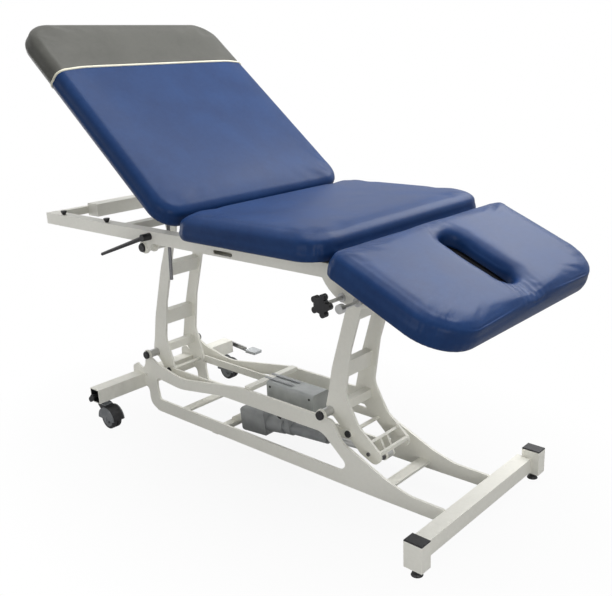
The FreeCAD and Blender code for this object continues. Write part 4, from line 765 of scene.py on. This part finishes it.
def tube_mesh(points, radius, sides):
    """Round tube along points, with its ends closed."""
    last = len(points) - 1
    verts, faces = [], []
    side = None
    for k, point in enumerate(points):
        tangent = (points[min(k + 1, last)] - points[max(k - 1, 0)]).normalized()
        if side is None:
            side = tangent.cross(Vector((0, 0, 1) if abs(tangent.z) < 0.9 else (1, 0, 0))).normalized()
        else:
            side = (side - tangent * side.dot(tangent)).normalized()
        other = tangent.cross(side)
        for n in range(sides):
            a = 2 * math.pi * n / sides
            verts.append(point + side * (radius * math.cos(a)) + other * (radius * math.sin(a)))
    for k in range(last):
        a, b = k * sides, (k + 1) * sides
        for n in range(sides):
            n1 = (n + 1) % sides
            faces.append((a + n, a + n1, b + n1, b + n))
    faces.append(tuple(reversed(range(sides))))
    faces.append(tuple(range(last * sides, (last + 1) * sides)))
    return verts, faces


# The breathing opening about the face cushion's middle, its lip, and the places of its gathers
SLOT_START = 67.0 - FACE.hx
SLOT_LONG = 225.0
SLOT_HALF = 45.0
SLOT_MIDDLE = SLOT_START + SLOT_LONG / 2
SLOT_FLARE = 25.0
SLOT_WALL = (12.5, 20.0, 28.0, 35.0, 40.0)
SLOT_SWELL = 1.2
SWELL_HEIGHT = 33.0
LIP_SHORT = 0.5
LIP_SHARES = (0.1, 0.25, 0.45, 0.7, 1.0)
TOP_SHARES = list(np.linspace(0.06, 0.86, 13)) + [0.885, 0.905, 0.92, 0.933, 0.946, 0.958, 0.97, 0.98, 0.99,
                                                  0.996, 1.0]
RING_POINTS = 288
RING_LEAN = 0.55
# Heights in millimetres, and how far the cover stands out there; it hangs a little below its board
FACE_SIDE_PROFILE = [(31.0, 0.4), (23.0, 0.6), (15.0, 0.4), (8.0, -0.2), (2.0, -1.2), (-3.0, -2.8),
                     (-6.0, -5.4), (-6.4, -8.5), (-4.0, -12.5), (0.0, -17.0), (0.0, -30.0), (12.0, -30.5)]
DIP = 5.5
DIP_HALF = 62.0
DIP_START = SLOT_MIDDLE + 70
DIP_OVER = 60.0
GATHER_FROM, GATHER_OVER = 0.55, 0.4
# Each one's centre, reach, direction, wave and depth
GATHERS = [
    ((FACE.hx - 36.0, -12.0, 60.0), 52.0, (0.25, 1.0, 0.0), 22.0, 2.0),
    ((FACE.hx - 26.0, -35.0, 60.0), 40.0, (0.4, 1.0, 0.0), 14.0, 1.0),
    ((SLOT_START - 6.0, -30.0, 55.0), 30.0, (1.0, 0.9, 0.0), 17.0, 1.0),
]


def slot_outline(angle):
    """Point on the breathing opening's outline, in a given direction from its middle."""
    reach = SLOT_LONG / 2 - SLOT_HALF
    dx, dy = math.cos(angle), math.sin(angle)
    if abs(dx) * SLOT_HALF <= abs(dy) * reach:
        scale = SLOT_HALF / abs(dy)
    else:
        b = dx * math.copysign(reach, dx)
        scale = b + math.sqrt(max(0.0, b * b - (reach * reach - SLOT_HALF * SLOT_HALF)))
    return SLOT_MIDDLE + dx * scale, dy * scale


def face_rings():
    """Matching points round the cushion's outline and round the opening."""
    outer, inner = [], []
    for k in range(RING_POINTS):
        u = 8.0 * k / RING_POINTS
        f = u % 2 - 1
        s, t = [(f, -1.0), (1.0, f), (-f, 1.0), (-1.0, -f)][int(u // 2)]
        x, y = FACE.outline(s, t)
        outer.append((x, y))
        inner.append(slot_outline(math.atan2(y * RING_LEAN, x - SLOT_MIDDLE)))
    return np.array(outer), np.array(inner)


def face_grid():
    """Rows from the lower edge of the opening over its lip to the outer rim and under."""
    outer, inner = face_rings()
    away = outer - inner
    away /= np.linalg.norm(away, axis=1)[:, None]
    rows = []
    for z in SLOT_WALL:
        swell = SLOT_SWELL * math.sin((z - SLOT_WALL[0]) / SWELL_HEIGHT * math.pi)
        rows.append([(x, y, z) for x, y in inner - away * swell])
    for share in LIP_SHARES:
        angle = share * math.pi / 2
        z = SLOT_WALL[-1] + (FACE.thick - LIP_SHORT - SLOT_WALL[-1]) * math.sin(angle)
        rows.append([(x, y, z) for x, y in inner + away * (SLOT_FLARE * (1 - math.cos(angle)))])
    lip = inner + away * SLOT_FLARE
    for share in TOP_SHARES:
        rows.append([(x, y, FACE.top_at(nearness(outer, x, y), FACE.rolls[0]))
                     for x, y in lip + (outer - lip) * share])
    for height, out in FACE_SIDE_PROFILE:
        rows.append([(x, y, height) for x, y in outer + outward(outer) * out])
    faces = []
    for k in range(len(rows)):
        a, b = k * RING_POINTS, (k + 1) % len(rows) * RING_POINTS
        for n in range(RING_POINTS):
            n1 = (n + 1) % RING_POINTS
            faces.append((a + n, b + n, b + n1, a + n1))
    return np.array([point for row in rows for point in row]), faces


def face_cushion():
    verts, faces = face_grid()
    verts = inflate("face", verts, faces, pressure=4.0, cap=3.0, hold=0.42)
    verts = corner_gathers(FACE, verts)
    # The cover dips from the opening's far end to the rim and gathers there
    up = np.clip((verts[:, 2] / FACE.thick - GATHER_FROM) / GATHER_OVER, 0, 1)
    dip = np.exp(-(verts[:, 1] / DIP_HALF) ** 2) * np.clip((verts[:, 0] - DIP_START) / DIP_OVER, 0, 1)
    verts[:, 2] -= DIP * dip * up
    for gather in GATHERS:
        verts[:, 2] += up * ripple(verts, *gather)
    verts[:, 0] += FACE_START + FACE.hx
    verts[:, 2] += FACE_UNDERSIDE
    verts = tilt(verts, FACE_HINGE, FACE_DROP)
    thing = mesh_object("face_cushion", to_scene(verts), faces, "blue_vinyl")
    subdivide(thing)
    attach(thing, "face_section")
    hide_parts("face_pad")


# Floor and light: the floor's half size and height are metres, its shade's sizes millimetres
FLOOR_HALF = 14.0
FLOOR_Z = -0.0005
FLOOR_TONES = ((0.27, 0.27, 0.27), (0.31, 0.31, 0.31))
MIRRORED_SHARE = 0.3
SHADE_LONG = 1350.0
SHADE_WIDE = 900.0
PALE_UNDER = 0.90
PALE_RISE = 0.10
BRIGHT_WAY = (-0.40, 0.48, 0.78)
BRIGHT_POWER = 2.0
BRIGHT_GAIN = 0.98
BRIGHT_LEAST = 0.10
# Each lamp's name, place, aim, width in metres and power in watts
LAMPS = [
    ("key", (0.5, 0.6, 3.4), (0.2, 0.0, 0.6), 2.6, 90.0),
    ("front", (3.3, -1.9, 0.6), (0.2, 0.0, 0.2), 1.6, 29.0),
    ("near", (0.3, -3.4, 0.5), (0.0, 0.0, 0.2), 1.6, 20.0),
    ("left", (-3.2, -0.7, 0.6), (0.0, 0.0, 0.3), 1.5, 17.0),
    ("rim", (0.6, 2.5, 2.6), (0.6, 0.0, 0.8), 1.7, 44.0),
]


def seen_share(shader):
    """1 for what the camera sees, and less for what gloss and glass show."""
    return shader.ray("Is Camera Ray") + (shader.ray("Is Glossy Ray")
                                          + shader.ray("Is Transmission Ray")) * MIRRORED_SHARE


def floor():
    """Plain floor that is white away from the table and keeps a faint shadow under it."""
    f = Finish("floor")
    diffuse = f.node("ShaderNodeBsdfDiffuse", Color=f.between(f.noise(6.0, 3.0), FLOOR_TONES, 0.3, 0.7))
    glow = f.node("ShaderNodeEmission", Color=(1.0, 1.0, 1.0), Strength=1.0)
    apart = ((f.spot("X") / SHADE_LONG) ** 2.0 + (f.spot("Y") / SHADE_WIDE) ** 2.0) ** 0.5
    pale = (apart * PALE_RISE + PALE_UNDER).clamp()
    mixed = f.node("ShaderNodeMixShader", slots={0: seen_share(f) * pale, 1: diffuse, 2: glow})
    f.node("ShaderNodeOutputMaterial", Surface=mixed)
    corners = [(sx * FLOOR_HALF, sy * FLOOR_HALF, FLOOR_Z)
               for sx, sy in ((-1, -1), (1, -1), (1, 1), (-1, 1))]
    mesh = new_mesh("floor", corners, [(0, 1, 2, 3)])
    mesh.materials.append(f.material)
    thing = placed("floor", mesh)


def studio():
    """White to the camera, and for light a sky that is brightest high up behind the table."""
    world = bpy.data.worlds.new("studio")
    bpy.context.scene.world = world
    world.use_nodes = True
    s = Shader(world.node_tree)
    way = s.node("ShaderNodeTexCoord", "Generated")
    x, y, z = (s.node("ShaderNodeSeparateXYZ", axis, Vector=way) for axis in "XYZ")
    toward = (x * BRIGHT_WAY[0] + y * BRIGHT_WAY[1] + z * BRIGHT_WAY[2]) * 0.5 + 0.5
    soft = toward.clamp() ** BRIGHT_POWER * BRIGHT_GAIN + BRIGHT_LEAST
    back = s.node("ShaderNodeBackground", Color=(1.0, 1.0, 1.0),
                  Strength=seen_share(s) * (1.0 - soft) + soft)
    s.node("ShaderNodeOutputWorld", Surface=back)


def lamps():
    for name, place, aim, wide, power in LAMPS:
        data = bpy.data.lights.new(name, "AREA")
        data.shape = "SQUARE"
        data.size = wide
        data.energy = power
        lamp = placed(name, data)
        lamp.location = place
        lamp.rotation_mode = "QUATERNION"
        lamp.rotation_quaternion = (Vector(aim) - Vector(place)).to_track_quat("-Z", "Y")


LEAD_ROUTE = [(553.5, -14.0, 142.0), (553.5, -14.0, 118.0), (558.5, -14.0, 99.3),
              (576.4, -14.0, 100.8)]
LEAD_RADIUS = 0.0035
LEAD_SIDES = 14
LEAD_STEPS = 12


def lead():
    """Lead between the control box and the actuator."""
    data = bpy.data.curves.new("lead_line", "CURVE")
    data.dimensions = "3D"
    spline = data.splines.new("NURBS")
    spline.points.add(len(LEAD_ROUTE) - 1)
    for point, place in zip(spline.points, LEAD_ROUTE):
        point.co = (*at(*place), 1.0)
    spline.order_u = 3
    spline.use_endpoint_u = True
    spline.resolution_u = LEAD_STEPS
    line = placed("lead_line", data)
    bpy.context.view_layer.update()
    points = [v.co.copy() for v in bpy.data.meshes.new_from_object(line).vertices]
    bpy.data.objects.remove(line)
    verts, faces = tube_mesh(points, LEAD_RADIUS, LEAD_SIDES)
    thing = mesh_object("lead", verts, faces, "cable")
    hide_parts("drive_lead")
    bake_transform(thing)


camera()
floor()
studio()
lamps()
bpy.context.scene.view_settings.view_transform = "Standard"
dress_nodes()
lead()
seat_cushion()
back_cushion()
face_cushion()
